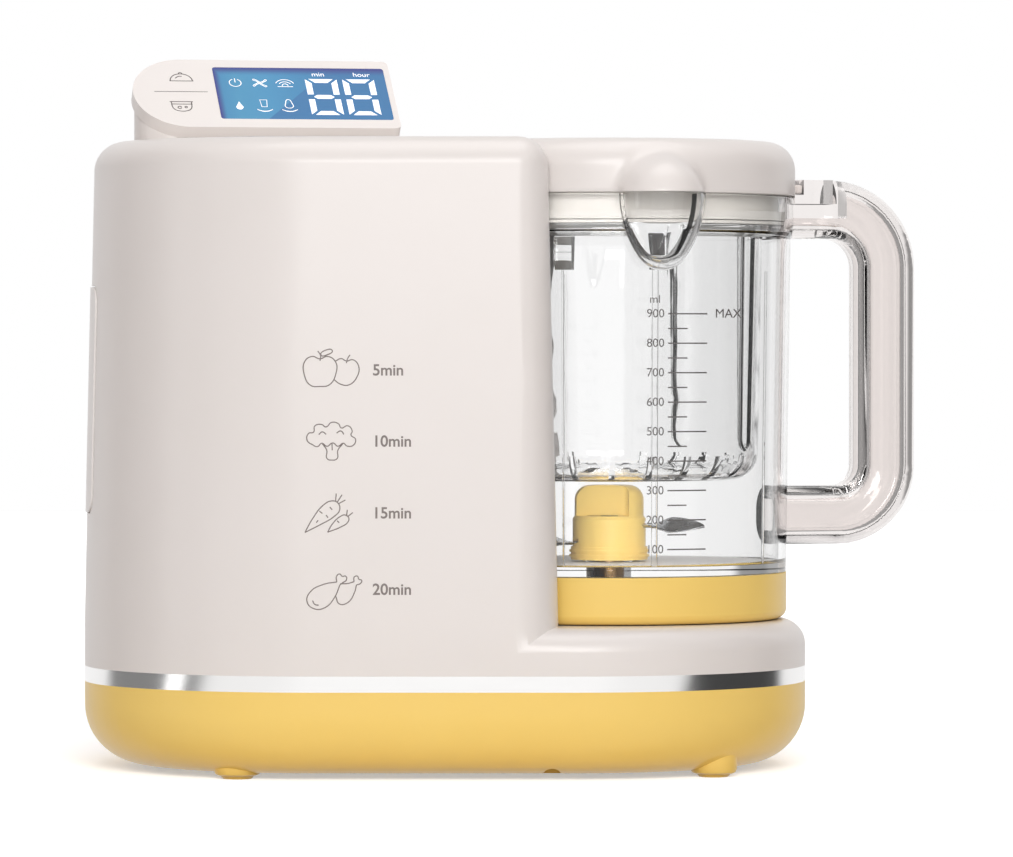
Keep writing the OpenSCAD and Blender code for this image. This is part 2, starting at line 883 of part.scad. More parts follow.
// The belt's outline round both pulleys
module belt_outline(grow) {
    hull() {
        translate([motor_x, 0]) circle(motor_pulley_r + grow, $fn = 48);
        translate([jug_x, 0]) circle(drive_pulley_r + grow, $fn = 96);
    }
}

module drive_belt() {
    color("#26282a") translate([0, 0, belt_z]) linear_extrude(belt_height) difference() {
        belt_outline(belt_gap + belt_thickness);
        belt_outline(belt_gap);
    }
}

module bearing_housing() {
    color("#5a5d60") at_jug() difference() {
        union() {
            translate([0, 0, chassis_z - 6]) cylinder(r = bearing_r, h = housing_top - chassis_z + 6);
            translate([0, 0, chassis_top]) cylinder(r = bearing_r + 6, h = 2.5);
        }
        translate([0, 0, chassis_z - 7]) cylinder(r = drive_shaft_r + running_gap, h = 40);
        translate([0, 0, housing_top - 2.5]) cylinder(r = 8 + held_gap, h = 5);
    }
}

module shaft_seal() {
    color("#2a2a2a") at_jug(housing_top - 2.5) difference() {
        cylinder(r = 8, h = 2.5);
        translate([0, 0, -past]) cylinder(r = drive_shaft_r + 0.1, h = 5);
    }
}

module drive_shaft() {
    color(steel) at_jug(shaft_foot_z) cylinder(r = drive_shaft_r, h = dog_z - shaft_foot_z);
}

// Three dogs that stand in the gaps between three others
module dogs(height) {
    reach = 2 * coupling_r;
    half = 27;
    for (a = [0, 120, 240]) rotate(a) linear_extrude(height) intersection() {
        difference() {
            circle(coupling_r);
            circle(dog_inner_r);
        }
        polygon([[0, 0], reach * [cos(half), -sin(half)], reach * [cos(half), sin(half)]]);
    }
}

module drive_coupling() {
    disc_z = housing_top + 0.6;
    color("#2e3033") at_jug() difference() {
        union() {
            translate([0, 0, disc_z]) cylinder(r = coupling_r, h = dog_z - disc_z);
            translate([0, 0, dog_z]) dogs(dog_height);
        }
        translate([0, 0, disc_z - past])
            cylinder(r = drive_shaft_r + held_gap, h = dog_z - disc_z + 2 * past);
    }
}

/* Interlock ------------------------------------------------------------ */

pin_travel = 2.5;
pin_r = 2.5;
pin_stem_r = 1.2;
pin_top = shelf_top + 3;
switch_height = 3.2;
spring_z = chassis_top + switch_height;
pin_flange_z = shelf_top - wall - 1.6;

module interlock_pin() {
    flange_height = 1.3;
    color(yellow) translate([pin_x, 0, 0]) {
        translate([0, 0, pin_flange_z]) cylinder(r = pin_r, h = pin_top - pin_flange_z);
        translate([0, 0, pin_flange_z]) cylinder(r = 4, h = flange_height);
        translate([0, 0, chassis_top + pin_travel + 0.4])
            cylinder(r = pin_stem_r, h = pin_flange_z - chassis_top - pin_travel - 0.4);
    }
}

module interlock_spring() {
    color(steel) translate([pin_x, 0, spring_z]) difference() {
        cylinder(r = 2.6, h = pin_flange_z - spring_z);
        translate([0, 0, -past]) cylinder(r = 1.9, h = 12);
    }
}

module interlock_switch() {
    color("#26282a") translate([pin_x, 0, chassis_top]) difference() {
        translate([0, 0, switch_height / 2]) cube([18, 8, switch_height], center = true);
        translate([0, 0, -past]) cylinder(r = pin_stem_r + 0.2, h = switch_height + 2 * past);
    }
}

/* Jug ------------------------------------------------------------------ */

spout_wall = 2.2;
bulge_drop = 1.7;
post_r = 8;
post_bore_r = 5.2;
post_top = floor_z + 15;
rib_turns = [-16, 15, 60, 164, 195, 240];
rib_width = 1.2;
rib_depth = 1.6;
rib_height = 104;

// The jug's outside as a solid, with an even gap round it
module jug_outside(gap = 0) {
    rotate_extrude() polygon([[0, jug_z], [jug_foot_r - 1 + gap, jug_z],
        [jug_foot_r + gap, jug_z + 2], [jug_radius + gap, collar_z],
        [collar_r + gap, collar_z + collar_step], [collar_r + gap, rim_z], [0, rim_z]]);
}

// Moves the children to the spout's axis, at the jug's rim
module at_spout(z) {
    rotate(-90 + jug_turn) translate([spout_reach, 0, z]) children();
}

// The spout's lower part: a long arc that narrows to a small round tip
module spout_form(inset) {
    r = spout_radius - inset;
    flank_r = 2.6 * r;
    flank_x = r - flank_r;
    tip_r = 0.63 * r;
    tip_z = -sqrt(pow(flank_r - tip_r, 2) - pow(flank_x, 2));
    join_z = tip_z + tip_r * tip_z / (flank_r - tip_r);
    // The tip's circle is a little wide, so that it crosses the long arc cleanly
    wide_r = 1.02 * tip_r;
    at_spout(rim_z) rotate_extrude() {
        intersection() {
            translate([flank_x, 0]) circle(flank_r);
            rectangle([0, join_z], [r, 0]);
        }
        intersection() {
            translate([flank_x, 0]) circle(flank_r);
            translate([0, tip_z - tip_r + wide_r]) circle(wide_r);
            rectangle([0, tip_z - 2 * tip_r], [r, join_z]);
        }
    }
}

// The bulge on the lid that covers the spout
module bulge_form(inset) {
    at_spout(rim_z - bulge_drop) sphere(r = spout_radius - inset);
}

module jug_body() {
    inner_foot_r = jug_foot_r - jug_wall;
    inner_top_r = jug_radius - jug_wall;
    fillet = 5;
    color(clear) at_jug() difference() {
        union() {
            difference() {
                union() {
                    jug_outside();
                    spout_form(0);
                }
                rotate_extrude() polygon([[0, floor_z], [inner_foot_r - fillet, floor_z],
                    [inner_foot_r - 0.29 * fillet, floor_z + 0.29 * fillet],
                    [inner_foot_r, floor_z + fillet],
                    [inner_top_r, rim_seat_z], [rim_bore_r, rim_seat_z],
                    [rim_bore_r, rim_z + past], [0, rim_z + past]]);
                spout_form(spout_wall);
                at_spout(rim_z - cross) cylinder(r = spout_radius - spout_wall, h = past);
            }
            translate([0, 0, jug_z]) cylinder(r = post_r, h = post_top - jug_z);
            // Upright ribs inside the wall, which throw the food back to the blades
            for (a = rib_turns) rotate(a - 90)
                translate([inner_foot_r - rib_depth, -rib_width / 2, floor_z - past])
                    cube([rib_depth + jug_taper + past / 2, rib_width, rib_height + past]);
        }
        translate([0, 0, jug_z - past]) cylinder(r = post_bore_r, h = post_top - jug_z + 2 * past);
    }
}

module base_ring() {
    outer_r = jug_foot_r;
    lower_r = 3.5;
    rib_z = pin_top + loose_gap;
    color(yellow) at_jug() rotate_extrude() {
        difference() {
            rectangle([outer_r - 3, ring_z], [outer_r, jug_z]);
            difference() {
                rectangle([outer_r - lower_r, ring_z - past], [outer_r + past, ring_z + lower_r]);
                translate([outer_r - lower_r, ring_z + lower_r]) circle(lower_r + cross);
            }
        }
        rectangle([ring_hole_r, jug_z - 3], [outer_r - 3, jug_z]);
        rectangle([ring_hole_r, ring_z + 0.7], [ring_hole_r + 2.5, jug_z - 3]);
        rectangle([pin_reach - 4.5, rib_z], [pin_reach + 4.5, jug_z - 3]);
    }
}

ring_hole_r = coupling_r + 2;

// Washer that seals the shaft where it passes the jug's floor
module base_seal() {
    color("#e9e6e0") at_jug(jug_z - 1.6) difference() {
        cylinder(r = ring_hole_r - held_gap, h = 1.6);
        translate([0, 0, -past]) cylinder(r = blade_shaft_r + 0.1, h = 4);
    }
}

module post_bush() {
    color("#b58a4a") at_jug(jug_z) difference() {
        cylinder(r = post_bore_r - held_gap, h = post_top - jug_z);
        translate([0, 0, -past])
            cylinder(r = blade_shaft_r + running_gap, h = post_top - jug_z + 2 * past);
    }
}

/* Handle --------------------------------------------------------------- */

handle_corner = 8;
handle_top_z = rim_z + 6.2;
top_bend = handle_bar;
low_bend = 17;
// Distance from the jug's axis to the middle of the upright bar
bar_support = (handle_bar / 2 - handle_corner) * cos(jug_turn)
    + (handle_depth / 2 - handle_corner) * sin(jug_turn) + handle_corner;
bar_s = (handle_reach - bar_support) / cos(jug_turn);
catch_z = rim_z - 2;
catch_s = jug_radius + 15.6;
lid_r = collar_r + 0.6;

// The handle's bar, bent through its two corners; inset makes its hollow
module handle_form(inset) {
    up_z = handle_top_z - handle_bar / 2;
    low_z = handle_top_z - handle_height + handle_bar / 2;
    root_s = jug_foot_r - 8;
    module section() round_rect(handle_bar - 2 * inset, handle_depth - 2 * inset,
        handle_corner - inset);
    translate([root_s, 0, up_z]) rotate([0, 90, 0])
        linear_extrude(bar_s - top_bend - root_s) section();
    translate([bar_s - top_bend, 0, up_z - top_bend]) rotate([90, 0, 0])
        rotate_extrude(angle = 90) translate([top_bend, 0]) section();
    translate([bar_s, 0, low_z + low_bend])
        linear_extrude(up_z - top_bend - low_z - low_bend) section();
    translate([bar_s - low_bend, 0, low_z + low_bend]) rotate([90, 0, 0]) rotate(-90)
        rotate_extrude(angle = 90) translate([low_bend, 0]) section();
    translate([root_s, 0, low_z]) rotate([0, 90, 0])
        linear_extrude(bar_s - low_bend - root_s) section();
}

module jug_handle() {
    color(clear) at_jug() rotate(jug_turn) difference() {
        handle_form(0);
        difference() {
            handle_form(handle_wall);
            translate([0, -handle_depth, catch_z - handle_wall])
                cube([catch_s + handle_wall, 2 * handle_depth, 40]);
        }
        jug_outside(held_gap);
        translate([0, 0, rim_z - 0.5]) cylinder(r = lid_r + 1, h = 40);
        translate([0, -handle_depth, catch_z]) cube([catch_s, 2 * handle_depth, 40]);
    }
}

// Block on the handle's root with a seat for the lid's lug, open upwards and to one side
module lid_catch() {
    inner = lid_r + 1;
    color(clear) at_jug() rotate(jug_turn) difference() {
        intersection() {
            translate([0, -8, catch_z])
                cube([catch_s - held_gap, 16, handle_top_z - catch_z]);
            cylinder(r = 2 * jug_radius, h = 300);
        }
        translate([0, 0, catch_z - past]) cylinder(r = inner, h = 40);
        translate([0, -5, lug_z - loose_gap]) cube([lug_s + loose_gap, 40, 40]);
    }
}

/* Lid ------------------------------------------------------------------ */

lid_z = rim_z + loose_gap;
lid_top = lid_z + lid_height;
lug_z = lid_z + 1.2;
lug_s = lid_r + 4;
plug_r = rim_bore_r - 0.6;
groove_r = plug_r - 2;
plug_z = rim_seat_z + 2.4;
plug_seat_z = lid_z + 0.1;
duct_r = 4.2;
duct_bore_r = 3;

module lid_shape(inset) {
    r = lid_r - inset;
    edge = lid_edge_r - inset;
    top = lid_top - inset;
    rotate_extrude() {
        rectangle([0, lid_z - (inset > 0 ? past : 0)], [r, top - edge]);
        rectangle([0, top - edge], [r - edge, top]);
        intersection() {
            translate([r - edge, top - edge]) circle(edge);
            rectangle([r - edge, top - edge], [r, top]);
        }
    }
}

module lid_cap() {
    color(white) at_jug() difference() {
        union() {
            lid_shape(0);
            intersection() {
                bulge_form(0);
                translate([0, 0, lid_z]) cylinder(r = 2 * jug_radius, h = 40);
            }
            rotate(jug_turn) translate([0, -4.5, lug_z]) cube([lug_s, 9, 3]);
        }
        lid_shape(lid_wall);
        intersection() {
            bulge_form(lid_wall);
            translate([0, 0, lid_z - past]) cylinder(r = 2 * jug_radius, h = 40);
        }
        translate([-lid_r - past, 0, steam_z]) rotate([0, 90, 0])
            cylinder(r = duct_bore_r, h = 12);
    }
}

// Inner cover that closes the lid from below, with a groove for the gasket
module lid_plug() {
    cover = 1.8;
    color("#f3f0ec") at_jug() difference() {
        rotate_extrude() {
            rectangle([0, plug_z], [plug_r, plug_z + 1]);
            rectangle([0, plug_z], [groove_r, plug_z + cover]);
            rectangle([groove_r - cover, plug_z], [groove_r, plug_seat_z + cover]);
            rectangle([groove_r - cover, plug_seat_z],
                [lid_r - lid_wall - held_gap, plug_seat_z + cover]);
        }
        translate([0, 0, plug_z - past]) cylinder(r = duct_r + held_gap, h = 10);
    }
}

module steam_duct() {
    points = [[-lid_r + lid_wall + 0.5, 0, steam_z], [0, 0, steam_z], [0, 0, plug_z]];
    color("#f3f0ec") at_jug() difference() {
        bent_pipe(points, duct_r, 6);
        bent_pipe(points, duct_bore_r, 6, past);
    }
}

module lid_gasket() {
    color("#f3f0ec") at_jug(plug_z + 1 + loose_gap) difference() {
        cylinder(r = plug_r + 0.3, h = 3);
        translate([0, 0, -past]) cylinder(r = groove_r + loose_gap, h = 3 + 2 * past);
    }
}

/* Steam basket --------------------------------------------------------- */

basket_rim_z = rim_seat_z + 2;
basket_z = basket_rim_z - basket_depth;
basket_taper = 1.5;

module basket_shell(inset) {
    floor_r = 9 - inset;
    r_low = basket_radius - basket_taper - inset;
    r_top = basket_radius - inset;
    low = basket_z + inset;
    rotate_extrude() {
        polygon([[0, low], [r_low - floor_r, low], [r_low - floor_r, low + floor_r],
            [r_low, low + floor_r], [r_top, basket_rim_z + (inset > 0 ? past : 0)],
            [0, basket_rim_z + (inset > 0 ? past : 0)]]);
        intersection() {
            translate([r_low - floor_r, low + floor_r]) circle(floor_r);
            rectangle([r_low - floor_r, low], [r_low, low + floor_r]);
        }
    }
}

// Four upright channels in the wall, which guide the basket in the jug
module basket_channels(grow) {
    low_z = basket_z + channel_lift;
    high_z = basket_rim_z - flange_height - channel_roof + grow;
    for (a = [-channel_turn, channel_turn, 180 - channel_turn, 180 + channel_turn])
        rotate(jug_turn + a) translate([basket_radius + 0.8, 0, low_z]) {
            cylinder(r = channel_r + grow, h = high_z - low_z);
            sphere(r = channel_r + grow);
        }
}

channel_r = 4;
channel_turn = 42;
channel_lift = 14;
channel_roof = 1.2;
flange_height = 2;

module steam_basket() {
    slot_width = 2;
    slot_low = basket_z + 1.2;
    slot_height = 7.2;
    floor_slot_width = 3;
    tab_width = 6;
    tab_turn = 18.6;
    color(clear) at_jug() difference() {
        union() {
            difference() {
                basket_shell(0);
                basket_shell(basket_wall);
            }
            intersection() {
                basket_shell(0.3);
                basket_channels(basket_wall);
            }
            translate([0, 0, basket_rim_z - flange_height]) difference() {
                cylinder(r = plug_r, h = flange_height);
                translate([0, 0, -past])
                    cylinder(r = basket_radius - 1, h = flange_height + 2 * past);
            }
            // Two tabs inside the rim, for lifting the basket out
            for (a = [-tab_turn, tab_turn]) rotate(a - 90)
                translate([basket_radius, tab_width / 2, basket_rim_z]) rotate([90, 0, 0])
                    linear_extrude(tab_width)
                        polygon([[-1, -4], [-6, -4], [-5, -15], [-3.6, -15], [-1, -9]]);
        }
        basket_channels(0);
        // Drain slots round the lower edge
        for (i = [0:basket_slots - 1]) rotate(i * 360 / basket_slots)
            translate([basket_radius - 9, -slot_width / 2, slot_low])
                cube([20, slot_width, slot_height]);
        // A ring of slots through the floor
        for (i = [0:11]) rotate(i * 30 + 15)
            translate([14, -floor_slot_width / 2, basket_z - past])
                cube([20, floor_slot_width, 5]);
    }
}

/* Blade unit ----------------------------------------------------------- */

hub_z = floor_z + 0.7;
hub_top = floor_z + hub_height;
shoulder_z = hub_top - 10.4;
hub_top_r = hub_radius - 0.7;
blade_root = hub_radius - 2;
upper_blade_z = floor_z + 12;
lower_blade_z = floor_z + 6;
hub_bore_r = post_r + 0.7;
shaft_top = hub_top - 2.5;

// One curved blade in plan, from the hub out to its point
module blade_plan() {
    back_r = 0.62 * blade_reach;
    front_r = 0.86 * blade_reach;
    intersection() {
        translate([blade_reach / 2, 8 - back_r]) circle(back_r);
        translate([blade_reach / 2, front_r - 5]) circle(front_r);
        rectangle([blade_root, -20], [blade_reach, 20]);
    }
}

module blade_form() {
    translate([0, 0, upper_blade_z]) rotate([0, -3.5, 0]) rotate([9, 0, 0])
        linear_extrude(blade_thickness) blade_plan();
    rotate(180) translate([0, 0, lower_blade_z]) rotate([0, 2, 0]) rotate([9, 0, 0])
        linear_extrude(blade_thickness) blade_plan();
}

module blades() color(steel) at_jug() blade_form();

module blade_hub() {
    top_edge = 5;
    grip_turn = 12;
    grip_reach = 8.4;
    grip_depth = 6;
    grip_r = 2.2;
    color(yellow) at_jug() difference() {
        rotate_extrude() {
            rectangle([0, hub_z], [hub_radius + 0.6, hub_z + 4.4]);
            for (z = [hub_z + 1, hub_z + 2.6])
                rectangle([0, z], [hub_radius + 1.1, z + 0.8]);
            rectangle([0, hub_z + 4.4], [hub_radius, shoulder_z - 1]);
            polygon([[0, shoulder_z - 1], [hub_radius, shoulder_z - 1],
                [hub_top_r, shoulder_z], [0, shoulder_z]]);
            rectangle([0, shoulder_z], [hub_top_r, hub_top - top_edge]);
            rectangle([0, hub_top - top_edge], [hub_top_r - top_edge, hub_top]);
            intersection() {
                translate([hub_top_r - top_edge, hub_top - top_edge]) circle(top_edge);
                rectangle([hub_top_r - top_edge, hub_top - top_edge], [hub_top_r, hub_top]);
            }
        }
        translate([0, 0, hub_z - past]) cylinder(r = hub_bore_r, h = post_top + 0.7 - hub_z + past);
        cylinder(r = blade_shaft_r + held_gap, h = shaft_top);
        blade_form();
        // Two scoops, which leave a rib for the fingers to turn the hub by
        for (a = [0, 180]) rotate(a - grip_turn) translate([0, 0, shoulder_z])
            linear_extrude(hub_height) {
                rectangle([-2 * hub_top_r, -2 * hub_top_r], [grip_reach - grip_r, -grip_depth]);
                rectangle([-2 * hub_top_r, -2 * hub_top_r], [grip_reach, -grip_depth - grip_r]);
                translate([grip_reach - grip_r, -grip_depth - grip_r]) circle(grip_r);
            }
    }
}

module blade_shaft() {
    color(steel) at_jug(driven_z + 1) cylinder(r = blade_shaft_r, h = shaft_top - driven_z - 1);
}

module driven_coupling() {
    disc_height = jug_z - 1.6 - 0.4 - driven_z;
    color("#2e3033") at_jug() difference() {
        union() {
            translate([0, 0, driven_z]) cylinder(r = coupling_r + 1, h = disc_height);
            translate([0, 0, dog_z + dog_gap]) rotate(60)
                dogs(driven_z + disc_height / 2 - dog_z - dog_gap);
        }
        translate([0, 0, driven_z + 1]) cylinder(r = blade_shaft_r + held_gap, h = 20);
    }
}

base_tray();
feet();
base_screws();
trim_band();
chassis();
tower_shell();
tank_sleeve();
tank_dock();
display_housing();
display_plate();
display_lens();
display_module();
display_board();
motor_mount();
motor_body();
drive_belt();
bearing_housing();
shaft_seal();
boiler_bracket();
boiler();
thermostat();
water_pump();
feed_hose();
boiler_hose();
steam_pipe();
steam_seal();
power_board();
cord_gland();
interlock_switch();
interlock_spring();
interlock_pin();
motor_shaft();
motor_pulley();
drive_shaft();
drive_pulley();
drive_coupling();
tank_body();
tank_door();
tank_cap();
tank_valve();
jug_body();
base_ring();
base_seal();
post_bush();
jug_handle();
lid_catch();
blade_hub();
blades();
blade_shaft();
driven_coupling();
steam_basket();
lid_gasket();
lid_cap();
lid_plug();
steam_duct();
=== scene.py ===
"""Baby food maker: a steamer and a blender in one housing, with a clear jug that lifts off."""
import math

import bmesh
import bpy
from mathutils import Matrix, Vector


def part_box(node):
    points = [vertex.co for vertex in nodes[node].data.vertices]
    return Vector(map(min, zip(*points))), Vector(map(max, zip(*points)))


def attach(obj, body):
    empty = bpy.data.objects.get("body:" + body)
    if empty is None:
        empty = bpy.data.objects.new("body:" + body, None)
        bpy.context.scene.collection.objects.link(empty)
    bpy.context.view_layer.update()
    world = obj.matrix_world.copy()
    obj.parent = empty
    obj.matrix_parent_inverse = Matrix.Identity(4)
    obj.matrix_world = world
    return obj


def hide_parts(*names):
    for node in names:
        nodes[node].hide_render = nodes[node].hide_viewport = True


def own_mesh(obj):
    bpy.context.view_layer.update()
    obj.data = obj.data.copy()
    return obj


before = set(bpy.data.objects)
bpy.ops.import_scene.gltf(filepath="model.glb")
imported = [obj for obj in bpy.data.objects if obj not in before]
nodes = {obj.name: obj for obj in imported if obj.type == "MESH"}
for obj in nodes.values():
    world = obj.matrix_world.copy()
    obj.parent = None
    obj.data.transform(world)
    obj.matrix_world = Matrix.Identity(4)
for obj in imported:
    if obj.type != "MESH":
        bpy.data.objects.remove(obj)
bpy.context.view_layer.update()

scene = bpy.context.scene
scene.view_settings.view_transform = "Standard"

# Camera ---------------------------------------------------------------------
# A long lens two metres away, a little above the middle of the machine. It looks down by less
# than a degree, so upright edges stay upright.

camera = bpy.data.objects.new("camera", bpy.data.cameras.new("camera"))
camera.data.lens = 211.1
camera.data.sensor_width = 36.0
camera.data.clip_end = 20.0
camera.location = (0.0016, -2.013, 0.1442)
looks_down = math.radians(0.838)
camera.rotation_euler = (math.radians(90) - looks_down, 0.0, 0.0)
scene.collection.objects.link(camera)
scene.camera = camera

# Studio ---------------------------------------------------------------------
# A pale floor, an even sky and soft boxes. Gloss and clear pieces see a white room whose two
# side walls are dark, which gives steel and clear plastic their dark lines.


def linear(hex_colour):
    """A shader's linear colour from an sRGB hex value."""
    parts = [int(hex_colour[i:i + 2], 16) / 255 for i in (1, 3, 5)]
    return [c / 12.92 if c <= 0.04045 else ((c + 0.055) / 1.055) ** 2.4 for c in parts] + [1.0]


def add_node(tree, kind, inputs=(), **settings):
    """Adds one node with its settings; an input is a value, or a socket to link from."""
    node = tree.nodes.new(kind)
    for name, value in settings.items():
        setattr(node, name, value)
    for name, value in dict(inputs).items():
        if isinstance(value, bpy.types.NodeSocket):
            tree.links.new(value, node.inputs[name])
        else:
            node.inputs[name].default_value = value
    return node


def new_object(name, mesh_maker):
    """Makes a mesh object of a bmesh and frees it."""
    mesh = bpy.data.meshes.new(name)
    mesh_maker.to_mesh(mesh)
    mesh_maker.free()
    made = bpy.data.objects.new(name, mesh)
    scene.collection.objects.link(made)
    return made


world = bpy.data.worlds.new("room")
scene.world = world
world.use_nodes = True
sky = world.node_tree
sky.nodes.clear()
ray = add_node(sky, "ShaderNodeLightPath")
way = add_node(sky, "ShaderNodeTexCoord")
split = add_node(sky, "ShaderNodeSeparateXYZ", {0: way.outputs["Generated"]})
# How far a ray turns to the side, in radians: 0 is straight to the front or back
side = add_node(sky, "ShaderNodeMath", {0: split.outputs["X"]}, operation="ABSOLUTE")
toward = add_node(sky, "ShaderNodeMath", {0: split.outputs["Y"]}, operation="ABSOLUTE")
turn = add_node(sky, "ShaderNodeMath", {0: side.outputs[0], 1: toward.outputs[0]},
                operation="ARCTAN2")
# Clear plastic bends light less than a mirror turns it, so it meets the dark walls sooner
sooner = add_node(sky, "ShaderNodeMath", {
    0: ray.outputs["Is Transmission Ray"], 1: 0.75, 2: 1.0}, operation="MULTIPLY_ADD")
met = add_node(sky, "ShaderNodeMath", {0: turn.outputs[0], 1: sooner.outputs[0]},
               operation="MULTIPLY")
# The right wall is darker than the left one
dark = add_node(sky, "ShaderNodeMapRange", {
    "Value": split.outputs["X"], "From Min": -0.1, "From Max": 0.1, "To Min": 0.25,
    "To Max": 0.06})
dim = add_node(sky, "ShaderNodeMix", {
    "Factor": ray.outputs["Is Transmission Ray"], "A": dark.outputs[0], "B": 0.34},
    data_type="FLOAT")
band = add_node(sky, "ShaderNodeMapRange", {
    "Value": met.outputs[0], "From Min": math.radians(52), "From Max": math.radians(62),
    "To Min": 1.0, "To Max": dim.outputs[0]}, interpolation_type="SMOOTHSTEP")
above = add_node(sky, "ShaderNodeMapRange", {
    "Value": split.outputs["Z"], "From Min": 0.55, "From Max": 0.75, "To Min": 0.0,
    "To Max": 1.0}, interpolation_type="SMOOTHSTEP")
walls = add_node(sky, "ShaderNodeMath", {0: band.outputs[0], 1: above.outputs[0]},
                 operation="MAXIMUM")
seen = add_node(sky, "ShaderNodeMath", {
    0: ray.outputs["Is Glossy Ray"], 1: ray.outputs["Is Transmission Ray"]}, operation="MAXIMUM")
level = add_node(sky, "ShaderNodeMix", {
    "Factor": seen.outputs[0], "A": 0.33, "B": walls.outputs[0]}, data_type="FLOAT")
strength = add_node(sky, "ShaderNodeMix", {
    "Factor": ray.outputs["Is Camera Ray"], "A": level.outputs[0], "B": 1.0}, data_type="FLOAT")
# The fill light in the shadows is a little pink
direct = add_node(sky, "ShaderNodeMath", {0: seen.outputs[0], 1: ray.outputs["Is Camera Ray"]},
                  operation="MAXIMUM")
tone = add_node(sky, "ShaderNodeMix", {
    "Factor": direct.outputs[0], "A": linear("#fff4f1"), "B": linear("#ffffff")},
    data_type="RGBA")
room = add_node(sky, "ShaderNodeBackground", {
    "Color": tone.outputs["Result"], "Strength": strength.outputs[0]})
add_node(sky, "ShaderNodeOutputWorld", {"Surface": room.outputs[0]})

paper_sheet = bmesh.new()
bmesh.ops.create_grid(paper_sheet, x_segments=1, y_segments=1, size=3.0)
floor = new_object("floor", paper_sheet)
# Plain white paper: what is seen of it shows white, and it keeps the machine's soft shadow
paper = bpy.data.materials.new("white_paper_floor")
paper.use_nodes = True
tree = paper.node_tree
tree.nodes.clear()
sheet = add_node(tree, "ShaderNodeBsdfDiffuse", {"Color": linear("#f4f4f4"), "Roughness": 1.0})
coords = add_node(tree, "ShaderNodeTexCoord")
away = add_node(tree, "ShaderNodeVectorMath", {0: coords.outputs["Object"]}, operation="LENGTH")
fade = add_node(tree, "ShaderNodeMapRange", {
    "Value": away.outputs["Value"], "From Min": 0.25, "From Max": 1.4, "To Min": 0.42,
    "To Max": 1.0})
glow = add_node(tree, "ShaderNodeEmission", {
    "Color": [1.0, 1.0, 1.0, 1.0], "Strength": fade.outputs[0]})
both = add_node(tree, "ShaderNodeAddShader", {0: sheet.outputs[0], 1: glow.outputs[0]})
path = add_node(tree, "ShaderNodeLightPath")
lit = add_node(tree, "ShaderNodeMath", {
    0: path.outputs["Is Camera Ray"], 1: path.outputs["Is Transmission Ray"]},
    operation="MAXIMUM")
shown = add_node(tree, "ShaderNodeMixShader", {
    0: lit.outputs[0], 1: sheet.outputs[0], 2: both.outputs[0]})
# Gloss looks past the paper into the room, so the steel band shows its dark side walls
nothing = add_node(tree, "ShaderNodeBsdfTransparent")
mirrored = add_node(tree, "ShaderNodeMixShader", {
    0: path.outputs["Is Glossy Ray"], 1: shown.outputs[0], 2: nothing.outputs[0]})
add_node(tree, "ShaderNodeOutputMaterial", {"Surface": mirrored.outputs[0]})
floor.data.materials.append(paper)

# Each soft box: name, place, what it faces, width, height, power in watts
for name, place, target, width, height, power in (
        ("front_box", (0.1, -1.9, 0.7), (0.0, 0.0, 0.12), 1.0, 0.8, 17.5),
        ("top_box", (0.1, -0.1, 1.3), (0.0, 0.0, 0.1), 1.0, 0.8, 5.0),
        ("left_box", (-1.5, -0.5, 0.3), (0.0, 0.0, 0.1), 0.3, 0.9, 1.2)):
    box = bpy.data.objects.new(name, bpy.data.lights.new(name, "AREA"))
    box.data.shape = "RECTANGLE"
    box.data.size = width
    box.data.size_y = height
    box.data.energy = power
    box.location = place
    box.rotation_euler = (Vector(target) - Vector(place)).to_track_quat("-Z", "Y").to_euler()
    scene.collection.objects.link(box)

# Tower shell ----------------------------------------------------------------
# The big white housing, with the shelf for the jug in one piece. It is injection-moulded ABS,
# polished in the mould, so it is smooth with a soft, broad gloss.


def new_material(name, **values):
    """A material with a Principled shader; returns it, its tree and the shader."""
    material = bpy.data.materials.new(name)
    material.use_nodes = True
    tree = material.node_tree
    tree.nodes.clear()
    shader = add_node(tree, "ShaderNodeBsdfPrincipled", {
        key.replace("_", " "): value for key, value in values.items()})
    add_node(tree, "ShaderNodeOutputMaterial", {"Surface": shader.outputs[0]})
    return material, tree, shader


def moulded_plastic(name, colour, deep, grain_mm, height_mm, **values):
    """Coloured plastic straight from the mould: even, with faint flow marks and a fine skin."""
    material, tree, shader = new_material(name, **values)
    coords = add_node(tree, "ShaderNodeTexCoord")
    # Flow marks are about 36 mm long
    flow = add_node(tree, "ShaderNodeTexNoise", {
        "Vector": coords.outputs["Object"], "Scale": 28.0, "Detail": 2.0})
    tint = add_node(tree, "ShaderNodeMix", {
        "Factor": flow.outputs["Fac"], "A": linear(colour), "B": linear(deep)}, data_type="RGBA")
    skin = add_node(tree, "ShaderNodeTexNoise", {
        "Vector": coords.outputs["Object"], "Scale": 1000.0 / grain_mm, "Detail": 1.0})
    relief = add_node(tree, "ShaderNodeBump", {
        "Height": skin.outputs["Fac"], "Distance": height_mm / 1000.0, "Strength": 1.0})
    tree.links.new(tint.outputs["Result"], shader.inputs["Base Color"])
    tree.links.new(relief.outputs["Normal"], shader.inputs["Normal"])
    return material


